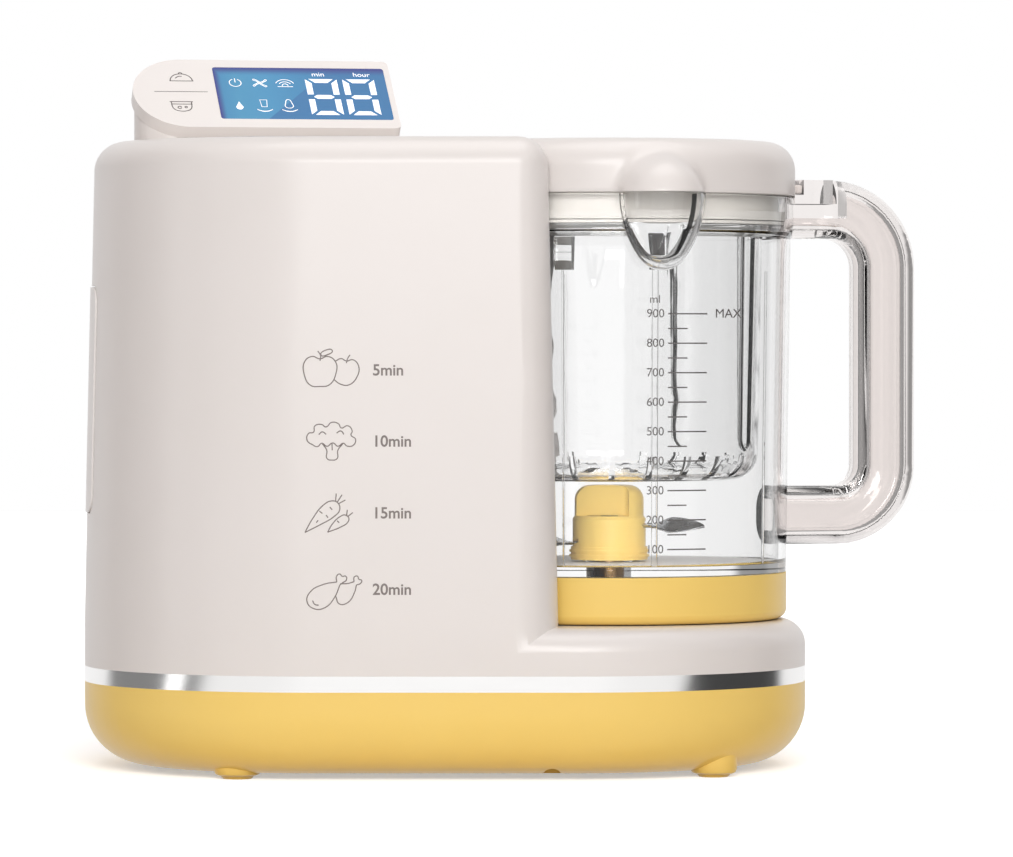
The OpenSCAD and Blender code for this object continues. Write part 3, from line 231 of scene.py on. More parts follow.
def smooth_group():
    """Geometry nodes that join loose triangles and shade them smooth up to an angle."""
    group = bpy.data.node_groups.new("smooth_by_angle", "GeometryNodeTree")
    for way, kind in (("INPUT", "NodeSocketGeometry"), ("OUTPUT", "NodeSocketGeometry")):
        group.interface.new_socket("Geometry", in_out=way, socket_type=kind)
    start = add_node(group, "NodeGroupInput")
    joined = add_node(group, "GeometryNodeMergeByDistance", {
        "Geometry": start.outputs[0], "Distance": 0.000002})
    soft = add_node(group, "GeometryNodeSetShadeSmooth", {"Geometry": joined.outputs[0]},
                    domain="FACE")
    angle = add_node(group, "GeometryNodeInputMeshEdgeAngle")
    small = add_node(group, "FunctionNodeCompare", {
        "A": angle.outputs["Unsigned Angle"], "B": math.radians(28)},
        data_type="FLOAT", operation="LESS_THAN")
    sharp = add_node(group, "GeometryNodeSetShadeSmooth", {
        "Geometry": soft.outputs[0], "Shade Smooth": small.outputs[0]}, domain="EDGE")
    add_node(group, "NodeGroupOutput", {0: sharp.outputs[0]})
    return group


smoothing = smooth_group()


def finish_mesh(piece, material):
    """Gives a mesh its material, and smooth shading that keeps flat faces flat."""
    piece.data.materials.clear()
    piece.data.materials.append(material)
    soften = piece.modifiers.new("smooth", "NODES")
    soften.node_group = smoothing
    flats = piece.modifiers.new("flats", "WEIGHTED_NORMAL")
    flats.keep_sharp = True
    flats.weight = 100


def finish_node(name, material):
    """Finishes a CAD node as it is."""
    finish_mesh(nodes[name], material)


# Warm white ABS; the flow marks are under one step of colour
white_abs = moulded_plastic("moulded_white_abs", "#ece7e4", "#e9e4e0", 1.2, 0.004,
                            Roughness=0.3, IOR=1.53)
finish_node("tower_shell", white_abs)
finish_node("tank_door", white_abs)

# Front print ----------------------------------------------------------------
# Four steaming times with a line drawing of a food beside each, pad-printed in warm grey ink.
# The ink lies a few hundredths of a millimetre proud of the wall.

ink_thick, ink_proud = 0.00003, 0.00002


def put_on_body(piece, body, replaced=()):
    """A finished piece rides on its body and may stand for solids."""
    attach(piece, body)
    if replaced:
        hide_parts(*replaced)


def inked(name, mesh, to_surface, material, body, bend=None):
    """Puts flat print on a surface: to_surface is a matrix, bend moves single points first."""
    if bend:
        for vertex in mesh.vertices:
            vertex.co = bend(vertex.co)
    mesh.transform(to_surface)
    mesh.materials.clear()
    mesh.materials.append(material)
    piece = bpy.data.objects.new(name, mesh)
    scene.collection.objects.link(piece)
    put_on_body(piece, body)


def drawn_lines(strokes, width, at=(0.0, 0.0)):
    """A flat drawing in metres from lines in millimetres. A stroke is "loop" or "line" for a
    curve through its points, or "poly" or "path" for the same with straight sides."""
    curve = bpy.data.curves.new("lines", "CURVE")
    curve.dimensions = "3D"
    curve.bevel_depth = width / 2000
    curve.bevel_resolution = 1
    curve.resolution_u = 6
    for kind, points in strokes:
        spline = curve.splines.new("BEZIER")
        spline.bezier_points.add(len(points) - 1)
        spline.use_cyclic_u = kind in ("loop", "poly")
        for knot, (x, y) in zip(spline.bezier_points, points):
            knot.co = ((at[0] + x) / 1000, (at[1] + y) / 1000, 0.0)
            knot.handle_left_type = knot.handle_right_type = (
                "AUTO" if kind in ("loop", "line") else "VECTOR")
    holder = bpy.data.objects.new("lines", curve)
    mesh = bpy.data.meshes.new_from_object(holder)
    bpy.data.objects.remove(holder)
    # A curve's bevel is round, so it is pressed flat
    mesh.transform(Matrix.Diagonal((1.0, 1.0, 0.12, 1.0)))
    return mesh


def lettering(words, height, at=(0.0, 0.0), align="LEFT", bold=0.0):
    """Flat letters in metres; height is that of a figure, in millimetres."""
    text = bpy.data.curves.new("letters", "FONT")
    figure_share = 0.69
    text.body = words
    text.size = height / 1000 / figure_share
    text.align_x = align
    text.align_y = "CENTER"
    text.extrude = ink_thick
    text.offset = bold / 1000
    holder = bpy.data.objects.new("letters", text)
    mesh = bpy.data.meshes.new_from_object(holder)
    bpy.data.objects.remove(holder)
    mesh.transform(Matrix.Translation((at[0] / 1000, at[1] / 1000, 0.0)))
    return mesh


def one_mesh(meshes):
    """Joins several meshes into one."""
    joined = bmesh.new()
    for mesh in meshes:
        joined.from_mesh(mesh)
        bpy.data.meshes.remove(mesh)
    mesh = bpy.data.meshes.new("print")
    joined.to_mesh(mesh)
    joined.free()
    return mesh


# Pad-printing ink: matt, and a little uneven in how thick it lies
grey_ink = moulded_plastic("warm_grey_ink", "#7d7470", "#867d79", 0.5, 0.002,
                           Roughness=0.55, IOR=1.5)

apples = [
    ("loop", [(-4.2, 3.6), (-1.7, 4.4), (0.9, 2.6), (1.0, -1.2), (-1.2, -4.9), (-4.2, -5.4),
              (-7.3, -5.0), (-9.4, -1.2), (-9.2, 2.7), (-6.8, 4.4)]),
    ("line", [(-4.2, 3.0), (-4.0, 4.6), (-4.9, 6.2)]),
    ("loop", [(-3.9, 4.9), (-2.4, 6.4), (-0.2, 6.3), (-1.7, 5.0)]),
    ("line", [(0.9, 2.9), (2.7, 3.7), (4.4, 2.9), (6.6, 3.3), (8.4, 1.2), (7.9, -2.2),
              (5.2, -4.9), (2.4, -4.6), (0.3, -3.1)]),
    ("line", [(4.4, 2.2), (4.9, 3.9), (5.6, 4.9)])]
broccoli = [
    ("loop", [(-6.6, -1.2), (-8.4, 0.3), (-7.9, 2.5), (-6.3, 2.9), (-5.9, 4.9), (-3.6, 5.4),
              (-2.3, 4.6), (-0.4, 6.1), (1.9, 5.6), (2.7, 4.3), (4.9, 5.0), (6.3, 3.2),
              (5.9, 2.0), (7.4, 0.6), (6.6, -1.4), (4.6, -1.6), (3.4, -0.7), (1.7, -1.7),
              (0.0, -0.6), (-1.9, -1.7), (-3.6, -0.7), (-5.0, -1.8)]),
    ("line", [(-3.4, -0.9), (-2.0, -3.0), (-1.9, -5.7), (-0.4, -6.2), (1.4, -5.7),
              (1.6, -3.1), (3.2, -0.9)]),
    ("line", [(-0.2, -3.0), (-0.3, -0.8)]),
    ("line", [(-4.6, 2.1), (-3.4, 3.0), (-2.2, 2.2)]),
    ("line", [(1.2, 2.6), (2.6, 3.3), (3.6, 2.2)])]
carrots = [
    ("line", [(-9.1, -6.4), (-6.6, -1.9), (-3.0, 2.6), (-0.4, 3.9), (1.7, 3.2), (2.2, 0.9),
              (0.4, -1.2), (-4.2, -3.9), (-9.1, -6.4)]),
    ("line", [(0.9, 3.9), (1.1, 6.3)]), ("line", [(1.5, 3.6), (3.0, 5.9)]),
    ("line", [(1.9, 3.0), (4.1, 4.2)]),
    ("line", [(-4.4, 0.6), (-3.4, -0.2)]), ("line", [(-1.0, 1.9), (-0.2, 1.0)]),
    ("line", [(-5.4, -3.2), (-4.8, -2.4)]), ("line", [(-1.6, -1.6), (-2.2, -0.7)]),
    ("line", [(-1.7, -6.3), (-0.2, -3.7), (2.4, -1.2), (4.0, -0.7), (5.2, -1.7), (4.9, -3.0),
              (2.6, -4.6), (-1.7, -6.3)]),
    ("line", [(4.5, -0.7), (4.7, 1.0)]), ("line", [(5.0, -1.1), (6.5, 0.1)]),
    ("line", [(1.4, -2.6), (2.1, -3.2)])]
drumstick = [
    ("line", [(1.3, 2.4), (-3.0, 1.6), (-7.4, -0.9), (-8.4, -4.1), (-5.9, -6.4), (-2.4, -5.9),
              (0.6, -2.6), (2.3, 1.4)]),
    ("line", [(1.3, 2.4), (1.2, 4.2), (2.2, 5.0), (3.1, 4.2), (4.2, 4.3), (4.4, 3.0),
              (3.3, 2.2), (2.3, 1.4)]),
    ("line", [(2.4, 1.8), (5.0, 1.9), (6.9, 2.5)]), ("line", [(0.9, -2.2), (2.2, -4.8),
              (4.9, -4.3), (7.0, -1.2), (7.7, 1.4)]),
    ("line", [(6.9, 2.5), (7.0, 4.0), (8.0, 4.3), (8.5, 3.3), (9.4, 2.9), (9.0, 1.9),
              (7.7, 1.4)]),
    ("line", [(-6.6, -3.7), (-5.9, -4.9), (-4.6, -5.2)])]
# The front wall leans back by 3.6 mm as it rises by 161 mm
wall_lean = math.atan(3.6 / 161.0)
wall_low = 50.5
wall_foot = Vector((0.0, -78.5, wall_low)) / 1000
wall_up = Vector((0.0, math.sin(wall_lean), math.cos(wall_lean)))
wall_out = Vector((0.0, -math.cos(wall_lean), math.sin(wall_lean)))


def on_wall(x, z):
    """The matrix that puts a flat drawing on the tower's front wall, in millimetres."""
    place = wall_foot + wall_up * (z - wall_low) / 1000 + Vector((x / 1000, 0.0, 0.0))
    place += wall_out * ink_proud
    return Matrix.Translation(place) @ Matrix((
        (1.0, wall_up.x, wall_out.x), (0.0, wall_up.y, wall_out.y),
        (0.0, wall_up.z, wall_out.z))).to_4x4()


ink_line, minutes_high = 0.36, 3.55
for name, drawing, minutes, z in (
        ("apple_print", apples, 5, 134.4), ("greens_print", broccoli, 10, 111.2),
        ("carrot_print", carrots, 15, 87.8), ("meat_print", drumstick, 20, 62.9)):
    picture = drawn_lines(drawing, ink_line, at=(-55.0, 0.6))
    figures = lettering(f"{minutes}min", minutes_high, at=(-42.1, 0.4), bold=0.09)
    inked(name, one_mesh([picture, figures]), on_wall(0.0, z), grey_ink,
          "machine")

# Display --------------------------------------------------------------------
# A white wedge on the tower's top holds the face plate. Behind its blue lens a lit panel shows
# six signs and two figures; the lens is glossy acrylic, with painted shade, deep blue, where its
# frame shades it, and a paler painted reflection on its lower left.

finish_node("display_housing", white_abs)
finish_node("display_plate", white_abs)
# The face plate's lower left corner, its turn and its lean back, as in the solids
face_corner = (-0.1213, -0.0246, 0.2162)
face_turn = math.radians(12)
face_lean = math.radians(49)
on_face = (Matrix.Translation(face_corner) @ Matrix.Rotation(face_turn, 4, "Z")
           @ Matrix.Rotation(math.radians(90) - face_lean, 4, "X"))
printed_face = on_face @ Matrix.Translation((0.0, 0.0, ink_proud))
lens_left, lens_low, lens_long, lens_high = 28.5, 4.5, 59.0, 27.7

# Acrylic with a lit panel behind it: it glows faintly and hardly mirrors
lit_lens, tree, shader = new_material(
    "lit_blue_acrylic", Roughness=0.08, IOR=1.49, Specular_IOR_Level=0.2,
    Emission_Strength=0.1)
coords = add_node(tree, "ShaderNodeTexCoord")
# Brings the lens to its own flat axes: X along it and Y up it, in metres
unturned = add_node(tree, "ShaderNodeMapping", {
    "Vector": coords.outputs["Object"], "Location": face_corner,
    "Rotation": on_face.to_euler()}, vector_type="TEXTURE")
flat = add_node(tree, "ShaderNodeSeparateXYZ", {0: unturned.outputs[0]})
along = add_node(tree, "ShaderNodeMapRange", {
    "Value": flat.outputs["X"], "From Min": lens_left / 1000,
    "From Max": (lens_left + lens_long) / 1000})
up = add_node(tree, "ShaderNodeMapRange", {
    "Value": flat.outputs["Y"], "From Min": lens_low / 1000,
    "From Max": (lens_low + lens_high) / 1000})
# A painted reflection, a paler blue, covers the lower left, up to a slanting edge
slant = add_node(tree, "ShaderNodeMath", {0: up.outputs[0], 1: -0.42, 2: along.outputs[0]},
                 operation="MULTIPLY_ADD")
painted_reflection_edge = add_node(tree, "ShaderNodeMapRange", {
    "Value": slant.outputs[0], "From Min": 0.272, "From Max": 0.278})
centre = add_node(tree, "ShaderNodeValToRGB", {"Fac": along.outputs[0]})
centre.color_ramp.elements[0].color = linear("#3180b1")
centre.color_ramp.elements[1].color = linear("#1e639d")
for place, colour in ((0.12, "#3d8eb8"), (0.3, "#3b8cba"), (0.5, "#3181b2")):
    centre.color_ramp.elements.new(place).color = linear(colour)
blue = add_node(tree, "ShaderNodeMix", {
    "Factor": painted_reflection_edge.outputs[0], "A": centre.outputs["Color"], "B": linear("#2970a6")},
    data_type="RGBA")
# Painted shade: deep navy along the lens's top and left edges, where its frame shades it
shade_up = add_node(tree, "ShaderNodeMapRange", {
    "Value": up.outputs[0], "From Min": 0.84, "From Max": 1.0, "To Min": 0.0, "To Max": 1.0},
    interpolation_type="SMOOTHSTEP")
shade_left = add_node(tree, "ShaderNodeMapRange", {
    "Value": along.outputs[0], "From Min": 0.0, "From Max": 0.045, "To Min": 1.0,
    "To Max": 0.0}, interpolation_type="SMOOTHSTEP")
shade = add_node(tree, "ShaderNodeMath", {0: shade_up.outputs[0], 1: shade_left.outputs[0]},
                 operation="MAXIMUM")
panel = add_node(tree, "ShaderNodeMix", {
    "Factor": shade.outputs[0], "A": blue.outputs["Result"], "B": linear("#2c3384")},
    data_type="RGBA")
tree.links.new(panel.outputs["Result"], shader.inputs["Base Color"])
tree.links.new(panel.outputs["Result"], shader.inputs["Emission Color"])
finish_node("display_lens", lit_lens)


def flat_shapes(outlines):
    """Filled flat shapes in metres from outlines in millimetres, as thin as foil."""
    cut = bmesh.new()
    for outline in outlines:
        corners = [cut.verts.new((x / 1000, y / 1000, 0.0)) for x, y in outline]
        cut.faces.new(corners)
    bmesh.ops.solidify(cut, geom=cut.faces[:], thickness=-ink_thick)
    mesh = bpy.data.meshes.new("shapes")
    cut.to_mesh(mesh)
    cut.free()
    return mesh


def figure_eight(left, low, width, height, bar):
    """The seven bars of one figure, each with slanted ends and a little air between."""
    right, top, middle, half, air = left + width, low + height, low + height / 2, bar / 2, 0.22
    bars = []
    for x, sign in ((left, 1), (right, -1)):
        for foot, head in ((low, middle), (middle, top)):
            lower, upper = foot + half + air, head - half - air
            inner = x + sign * bar
            bars.append([(x, lower - half * (foot == low)), (x, upper + half * (head == top)),
                         (inner, upper - half * (head == top)),
                         (inner, lower + half * (foot == low))])
    for y, sign in ((low, 1), (top, -1)):
        bars.append([(left + 1.2 * half, y), (right - 1.2 * half, y),
                     (right - bar - air - half, y + sign * bar),
                     (left + bar + air + half, y + sign * bar)])
    bars.append([(left + bar - 0.2, middle), (left + bar + half, middle + half),
                 (right - bar - half, middle + half), (right - bar + 0.2, middle),
                 (right - bar - half, middle - half), (left + bar + half, middle - half)])
    return bars


# What lights up is drawn on the back of the lens in clear areas: pure white, with light behind
lit_white, tree, shader = new_material(
    "lit_white_sign", Base_Color=linear("#ffffff"), Roughness=0.3,
    Emission_Color=linear("#ffffff"), Emission_Strength=0.35)


def ring(x, y, r, start=0, end=360, flat=1.0):
    """Points on a circle or arc, as a stroke's points; flat presses it down."""
    count = 12
    steps = count if end - start >= 360 else count - 1
    return [(x + r * math.cos(math.radians(start + (end - start) * i / steps)),
             y + flat * r * math.sin(math.radians(start + (end - start) * i / steps)))
            for i in range(count)]


upper_row, lower_row = lens_low + 0.70 * lens_high, lens_low + 0.25 * lens_high
power_x, fan_x, steam_x = (lens_left + part * lens_long for part in (0.119, 0.262, 0.407))
signs = [("line", ring(power_x, upper_row, 2.0, 115, 425)),
         ("path", [(power_x, upper_row + 0.2), (power_x, upper_row + 2.3)])]
for quarter in range(4):
    turned = math.radians(90 * quarter + 20)
    signs.append(("loop", [
        (fan_x + r * math.cos(turned + bow * r / 3.2), upper_row + 0.8 * r * math.sin(
            turned + bow * r / 3.2)) for r, bow in ((0.3, 0.4), (1.6, 0.75), (3.2, 0.4),
                                                    (1.6, 0.15))]))
for r, low, high in ((3.4, 25, 155), (2.2, 30, 150)):
    signs.append(("line", ring(steam_x, upper_row - 1.5, r, low, high)))
signs += [("line", ring(steam_x, upper_row - 1.4, 1.0, 0, 180)),
          ("path", [(steam_x - 2.6, upper_row - 1.9), (steam_x + 2.6, upper_row - 1.9)]),
          ("poly", [(fan_x - 1.2, lower_row + 3.3), (fan_x + 1.2, lower_row + 3.3),
                    (fan_x + 0.9, lower_row - 0.4), (fan_x - 0.9, lower_row - 0.4)]),
          ("line", ring(fan_x, lower_row - 1.6, 2.2, 200, 340, 0.6)),
          ("line", ring(fan_x, lower_row - 1.0, 2.9, 205, 335, 0.6)),
          ("loop", [(steam_x, lower_row + 3.6), (steam_x + 1.1, lower_row + 1.6),
                    (steam_x + 1.1, lower_row - 0.6), (steam_x - 1.1, lower_row - 0.6),
                    (steam_x - 1.1, lower_row + 1.6)]),
          ("line", ring(steam_x, lower_row - 1.6, 2.2, 200, 340, 0.6)),
          ("line", ring(steam_x, lower_row - 1.0, 2.9, 205, 335, 0.6))]
drop = [(power_x + 1.25 * math.sin(a) * (1 if abs(a) > 1.2 else 0.9),
         lower_row - 0.7 - 1.25 * math.cos(a)) for a in (math.radians(d) for d in
                                                        range(-135, 136, 18))]
drop.append((power_x, lower_row + 2.4))
figure_low, figure_wide, figure_high, bar_wide = 6.9, 11.0, 19.4, 2.1
figures = [flat_shapes(figure_eight(left, figure_low, figure_wide, figure_high, bar_wide))
           for left in (59.7, 72.6)]
words = [lettering(word, 2.1, at=(x, 28.7)) for word, x in (("min", 62.3), ("hour", 76.6))]
inked("display_signs",
      one_mesh([drawn_lines(signs, 0.32), flat_shapes([drop[::-1]])] + figures + words),
      printed_face, lit_white, "machine")

# Two signs beside the lens, for keeping warm and for rinsing out, and a line between them,
# in a darker ink than on the wall
sign_ink = moulded_plastic("dark_brown_ink", "#4f4643", "#574e4b", 0.5, 0.002,
                           Roughness=0.55, IOR=1.5)
cloche = [("path", [(13.1, 24.6), (21.3, 24.6)]),
          ("line", ring(17.2, 24.6, 3.8, 0, 180, 1.0)),
          ("line", ring(17.2, 28.5, 0.6, 0, 180)),
          ("line", [(15.2, 26.0), (16.4, 27.0), (17.6, 27.1)])]
bowl = [("line", [(12.4, 13.2), (12.9, 9.7), (14.2, 8.6), (17.5, 8.6), (18.8, 9.7),
                  (19.3, 13.2)]),
        ("path", [(11.9, 13.4), (19.8, 13.4)]), ("path", [(12.2, 12.1), (19.5, 12.1)]),
        ("line", ring(15.0, 10.3, 0.6)), ("line", ring(17.2, 10.5, 0.4))]
divider = [("path", [(7.3, 18.8), (25.5, 18.8)])]
inked("face_print", one_mesh([drawn_lines(cloche + bowl, ink_line), drawn_lines(divider, 0.26)]),
      printed_face, sign_ink, "machine")

# Base tray ------------------------------------------------------------------
# A moulded tray of yellow ABS closes the machine from below. It stands on four feet of the
# same colour, and screws through them hold it to the chassis.

# Coloured ABS, which mirrors a little less than the white, so that it keeps its yellow
yellow_abs = moulded_plastic("moulded_yellow_abs", "#fedc7e", "#fbd674", 1.0, 0.004,
                             Roughness=0.32, IOR=1.5, Specular_IOR_Level=0.3)
finish_node("base_tray", yellow_abs)
finish_node("feet", yellow_abs)

# Trim band ------------------------------------------------------------------
# A strip of stainless steel, bent round the top of the tray and held between it and the tower.
# It is brushed along its length.

# Fine lines along the strip, 0.17 mm apart, that spread what it mirrors up and down
brushed_steel, tree, shader = new_material(
    "brushed_stainless_steel", Base_Color=linear("#f0efee"), Metallic=1.0)
coords = add_node(tree, "ShaderNodeTexCoord")
stretch = add_node(tree, "ShaderNodeMapping", {
    "Vector": coords.outputs["Object"], "Scale": (60.0, 60.0, 6000.0)})
grain = add_node(tree, "ShaderNodeTexNoise", {
    "Vector": stretch.outputs[0], "Scale": 1.0, "Detail": 3.0})
gloss = add_node(tree, "ShaderNodeMapRange", {
    "Value": grain.outputs["Fac"], "To Min": 0.12, "To Max": 0.24})
lines = add_node(tree, "ShaderNodeBump", {
    "Height": grain.outputs["Fac"], "Distance": 0.000004, "Strength": 1.0})
tree.links.new(gloss.outputs[0], shader.inputs["Roughness"])
tree.links.new(lines.outputs[0], shader.inputs["Normal"])
finish_node("trim_band", brushed_steel)

# Jug ------------------------------------------------------------------------
# The clear jug is moulded from copolyester, with a collar, a spout and a post for the blades.
# Its D handle is welded on, and a yellow ring closes it from below.


def clear_plastic(name, colour, lamp_colour, roughness):
    """Clear copolyester: it bends light as real walls do, with faint waves from the mould."""
    material, tree, shader = new_material(
        name, Base_Color=linear(colour), Roughness=roughness, IOR=1.5, Transmission_Weight=1.0)
    # Lamps shine straight through, so that what is inside is lit
    path = add_node(tree, "ShaderNodeLightPath")
    passed = add_node(tree, "ShaderNodeBsdfTransparent", {"Color": linear(lamp_colour)})
    pane = add_node(tree, "ShaderNodeMixShader", {
        0: path.outputs["Is Shadow Ray"], 1: shader.outputs[0], 2: passed.outputs[0]})
    tree.links.new(pane.outputs[0], tree.nodes["Material Output"].inputs["Surface"])
    coords = add_node(tree, "ShaderNodeTexCoord")
    # The waves are about 17 mm long
    waves = add_node(tree, "ShaderNodeTexNoise", {
        "Vector": coords.outputs["Object"], "Scale": 60.0, "Detail": 1.0})
    relief = add_node(tree, "ShaderNodeBump", {
        "Height": waves.outputs["Fac"], "Distance": 0.00001, "Strength": 1.0})
    tree.links.new(relief.outputs["Normal"], shader.inputs["Normal"])
    return material


# As clear as glass, with a polished face
clear_copolyester = clear_plastic("clear_copolyester", "#ffffff", "#fcfcfc", 0.015)
for name in ("steam_basket", "tank_body"):
    finish_node(name, clear_copolyester)
# The handle's walls are thick, so they take more of the light
thick_copolyester = clear_plastic("thick_copolyester", "#f3eeec", "#fafafa", 0.03)
for name in ("jug_handle", "lid_catch"):
    finish_node(name, thick_copolyester)
finish_node("base_ring", yellow_abs)
finish_node("blade_hub", yellow_abs)

jug_x = 0.0364


def at_jug_axis(angle, r, z):
    """A point in metres from an angle, a radius and a height in millimetres round the jug."""
    return Vector((jug_x + r * math.cos(angle) / 1000, r * math.sin(angle) / 1000, z / 1000))


def arc(x, z, r, start, end, steps):
    """Points of a profile on an arc, from one angle in degrees to another."""
    turns = [math.radians(start + (end - start) * step / steps) for step in range(steps + 1)]
    return [(x + r * math.cos(turn), z + r * math.sin(turn)) for turn in turns]


def lathe(profile, steps, closed, angle=0.0, reach=0.0):
    """Spins a profile of radii and heights in millimetres round an upright axis. The axis is
    the jug's, or one that stands off it by a reach at an angle."""
    turned = bmesh.new()
    foot = at_jug_axis(angle, reach, 0.0)
    line = [turned.verts.new((foot.x + r / 1000, foot.y, z / 1000)) for r, z in profile]
    for low, high in zip(line, line[1:] + line[:1] if closed else line[1:]):
        turned.edges.new((low, high))
    bmesh.ops.spin(turned, geom=turned.verts[:] + turned.edges[:], cent=foot,
                   axis=(0.0, 0.0, 1.0), angle=math.radians(360), steps=steps, use_merge=True)
    bmesh.ops.remove_doubles(turned, verts=turned.verts, dist=0.000004)
    bmesh.ops.recalc_face_normals(turned, faces=turned.faces)
    return turned


def cut_with(piece, steps):
    """Adds or takes away other objects for good; steps pairs an operation with an object."""
    for operation, other in steps:
        change = piece.modifiers.new(operation, "BOOLEAN")
        change.operation = operation
        change.object = other
        change.solver = "EXACT"
    shape = bpy.data.meshes.new_from_object(
        piece.evaluated_get(bpy.context.evaluated_depsgraph_get()))
    piece.modifiers.clear()
    for _, other in steps:
        bpy.data.objects.remove(other)
    old, piece.data = piece.data, shape
    bpy.data.meshes.remove(old)


def rounded_block(size, edge_r, chosen=lambda edge: True):
    """A block round the origin, in metres, with the chosen edges rounded."""
    block = bmesh.new()
    bmesh.ops.create_cube(block, size=1.0)
    bmesh.ops.scale(block, vec=size, verts=block.verts)
    bmesh.ops.bevel(block, geom=[edge for edge in block.edges if chosen(edge)], offset=edge_r,
                    segments=3, affect="EDGES", profile=0.5, material=-1)
    return block


def turn_part(part, angle, axis):
    """Turns a bmesh by an angle in radians about an axis through the origin."""
    bmesh.ops.rotate(part, cent=(0.0, 0.0, 0.0), matrix=Matrix.Rotation(angle, 3, axis),
                     verts=part.verts)


def move_part(part, x, y, z):
    """Moves a bmesh, in metres."""
    bmesh.ops.translate(part, vec=(x, y, z), verts=part.verts)


def add_part(whole, part):
    """Puts one bmesh into another and frees it."""
    mesh = bpy.data.meshes.new("part")
    part.to_mesh(mesh)
    part.free()
    whole.from_mesh(mesh)
    bpy.data.meshes.remove(mesh)


# The jug's levels and radii, as in the solids; it stands a hair above its ring
jug_foot, jug_floor, post_top, seat, collar, rim = 66.42, 69.8, 84.8, 181.0, 179.0, 193.0
spout_turn, spout_reach, spout_r, spout_wall = math.radians(-75), 63.2, 14.3, 1.4
inside = arc(55.6, jug_floor + 1.4, 1.4, -90, 0, 6)
body = new_object("jug_shell", lathe(
    [(5.2, jug_foot), (59.5, jug_foot)] + arc(59.5, jug_foot + 0.4, 0.4, -90, -2, 4)
    + [(61.4, collar), (61.8, collar + 0.7), (62.15, collar + 2.0), (62.3, collar + 3.1)]
    + arc(61.7, rim - 0.6, 0.6, 0, 90, 4) + arc(60.3, rim - 0.5, 0.5, 90, 180, 4)
    + arc(59.2, seat + 0.6, 0.6, 0, -90, 4) + arc(58.9, seat - 0.5, 0.5, 90, 180, 4)
    + inside[::-1] + [(8.0, jug_floor)] + arc(7.4, post_top - 0.6, 0.6, 0, 90, 4)
    + [(5.2, post_top)], 288, True))


def spout_profile(inset):
    """Half the spout's section: a long arc from the rim down, which ends in a round tip."""
    r = spout_r - inset
    flank = 2.6 * r
    tip = 0.63 * r
    tip_z = -math.sqrt((flank - tip) ** 2 - (r - flank) ** 2)
    meet = math.degrees(math.atan2(tip_z, flank - r))
    long_arc = arc(r - flank, rim, flank, 0, meet, 24)
    return [(0.0, rim)] + long_arc + arc(0.0, rim + tip_z, tip, meet, -90, 16)[1:]


spout = new_object("spout", lathe(spout_profile(0.0), 128, False, spout_turn, spout_reach))
mouth = new_object("mouth", lathe(
    [(0.0, rim + 2.0), (spout_r - spout_wall, rim + 2.0)] + spout_profile(spout_wall)[1:],
    128, False, spout_turn, spout_reach))
# Everything inside the bore is taken away again, so that the spout doesn't reach into it. The
# cut runs midway through the jug's wall, so that no two faces lie flush when they are joined
bore = new_object("bore", lathe(
    [(0.0, rim + 3.0), (60.6, rim + 3.0), (60.6, seat + 0.6), (59.8, seat - 1.0),
     (58.7, 100.0), (0.0, 100.0)], 288, False))
cut_with(spout, [("DIFFERENCE", bore)])
# Six upright ribs inside the wall, which lean with it; only their long edges are rounded
rib_deep, rib_high, rib_r, rib_middle, wall_taper = 0.0026, 0.098, 0.0584, 0.1187, 0.0131
ribs = bmesh.new()
for place, thick in ((-16, 0.0007), (13.9, 0.002), (60, 0.0009), (164, 0.0009), (195, 0.0009),
                     (240, 0.0009)):
    rib = rounded_block((rib_deep, thick, rib_high), 0.0003,
                        lambda edge: edge.calc_length() > rib_high / 2)
    turn_part(rib, wall_taper, "Y")
    move_part(rib, rib_r, 0.0, rib_middle)
    turn_part(rib, math.radians(place - 90), "Z")
    move_part(rib, jug_x, 0.0, 0.0)
    add_part(ribs, rib)
cut_with(body, [("UNION", spout), ("DIFFERENCE", mouth), ("UNION", new_object("ribs", ribs))])
finish_mesh(body, clear_copolyester)
put_on_body(body, "jug", ["jug_body"])
# The floor's upper face gets a pale matt material, a painted reflection that stands in for the
# pale shine of the clear floor, so what lies below it doesn't show
painted_reflection_floor = moulded_plastic("painted_reflection_floor", "#efedeb", "#e8e6e4", 0.3, 0.01,
                                      Roughness=0.5, IOR=1.5)
body.data.materials.append(painted_reflection_floor)
for face in body.data.polygons:
    if face.normal.z > 0.9 and abs(face.center.z * 1000 - jug_floor) < 0.1:
        face.material_index = 1

# Jug scale ------------------------------------------------------------------
# Plain measure marks and figures for every 100 ml, with a short mark halfway. They are
# screen-printed round the front of the jug.

# The radius of the wall at the collar, in metres, and how fast it narrows below
jug_wall_r, collar_z, narrows = 0.0612, 0.179, 0.0126
# Screen-printing ink: dense, matt and dark grey
dark_ink = moulded_plastic("dark_grey_ink", "#55504e", "#5c5755", 0.5, 0.002,
                           Roughness=0.55, IOR=1.5)
first_mark, mark_step, half_step, mark_left = 75.7, 9.71, 4.86, 18.5
long_end, short_end, mark_wide = 31.6, 25.0, 0.45
marks = []
for hundreds in range(1, 10):
    height = first_mark + mark_step * (hundreds - 1)
    marks.append(lettering(str(100 * hundreds), 2.75, at=(17.3, height), align="RIGHT"))
    for level, reach in ((height, long_end), (height - half_step, short_end)):
        if level < first_mark - 0.7:
            continue
        bar = bmesh.new()
        bmesh.ops.create_grid(bar, x_segments=10, y_segments=1, size=0.5)
        bmesh.ops.scale(bar, vec=((reach - mark_left) / 1000, mark_wide / 1000, 1.0),
                        verts=bar.verts)
        move_part(bar, (reach + mark_left) / 2000, level / 1000, 0.0)
        bmesh.ops.solidify(bar, geom=bar.faces[:], thickness=-ink_thick)
        mesh = bpy.data.meshes.new("marks")
        bar.to_mesh(mesh)
        bar.free()
        marks.append(mesh)
marks += [lettering("ml", 2.6, at=(14.1, 158.1), align="CENTER"),
          lettering("MAX.", 2.9, at=(34.2, 153.4))]


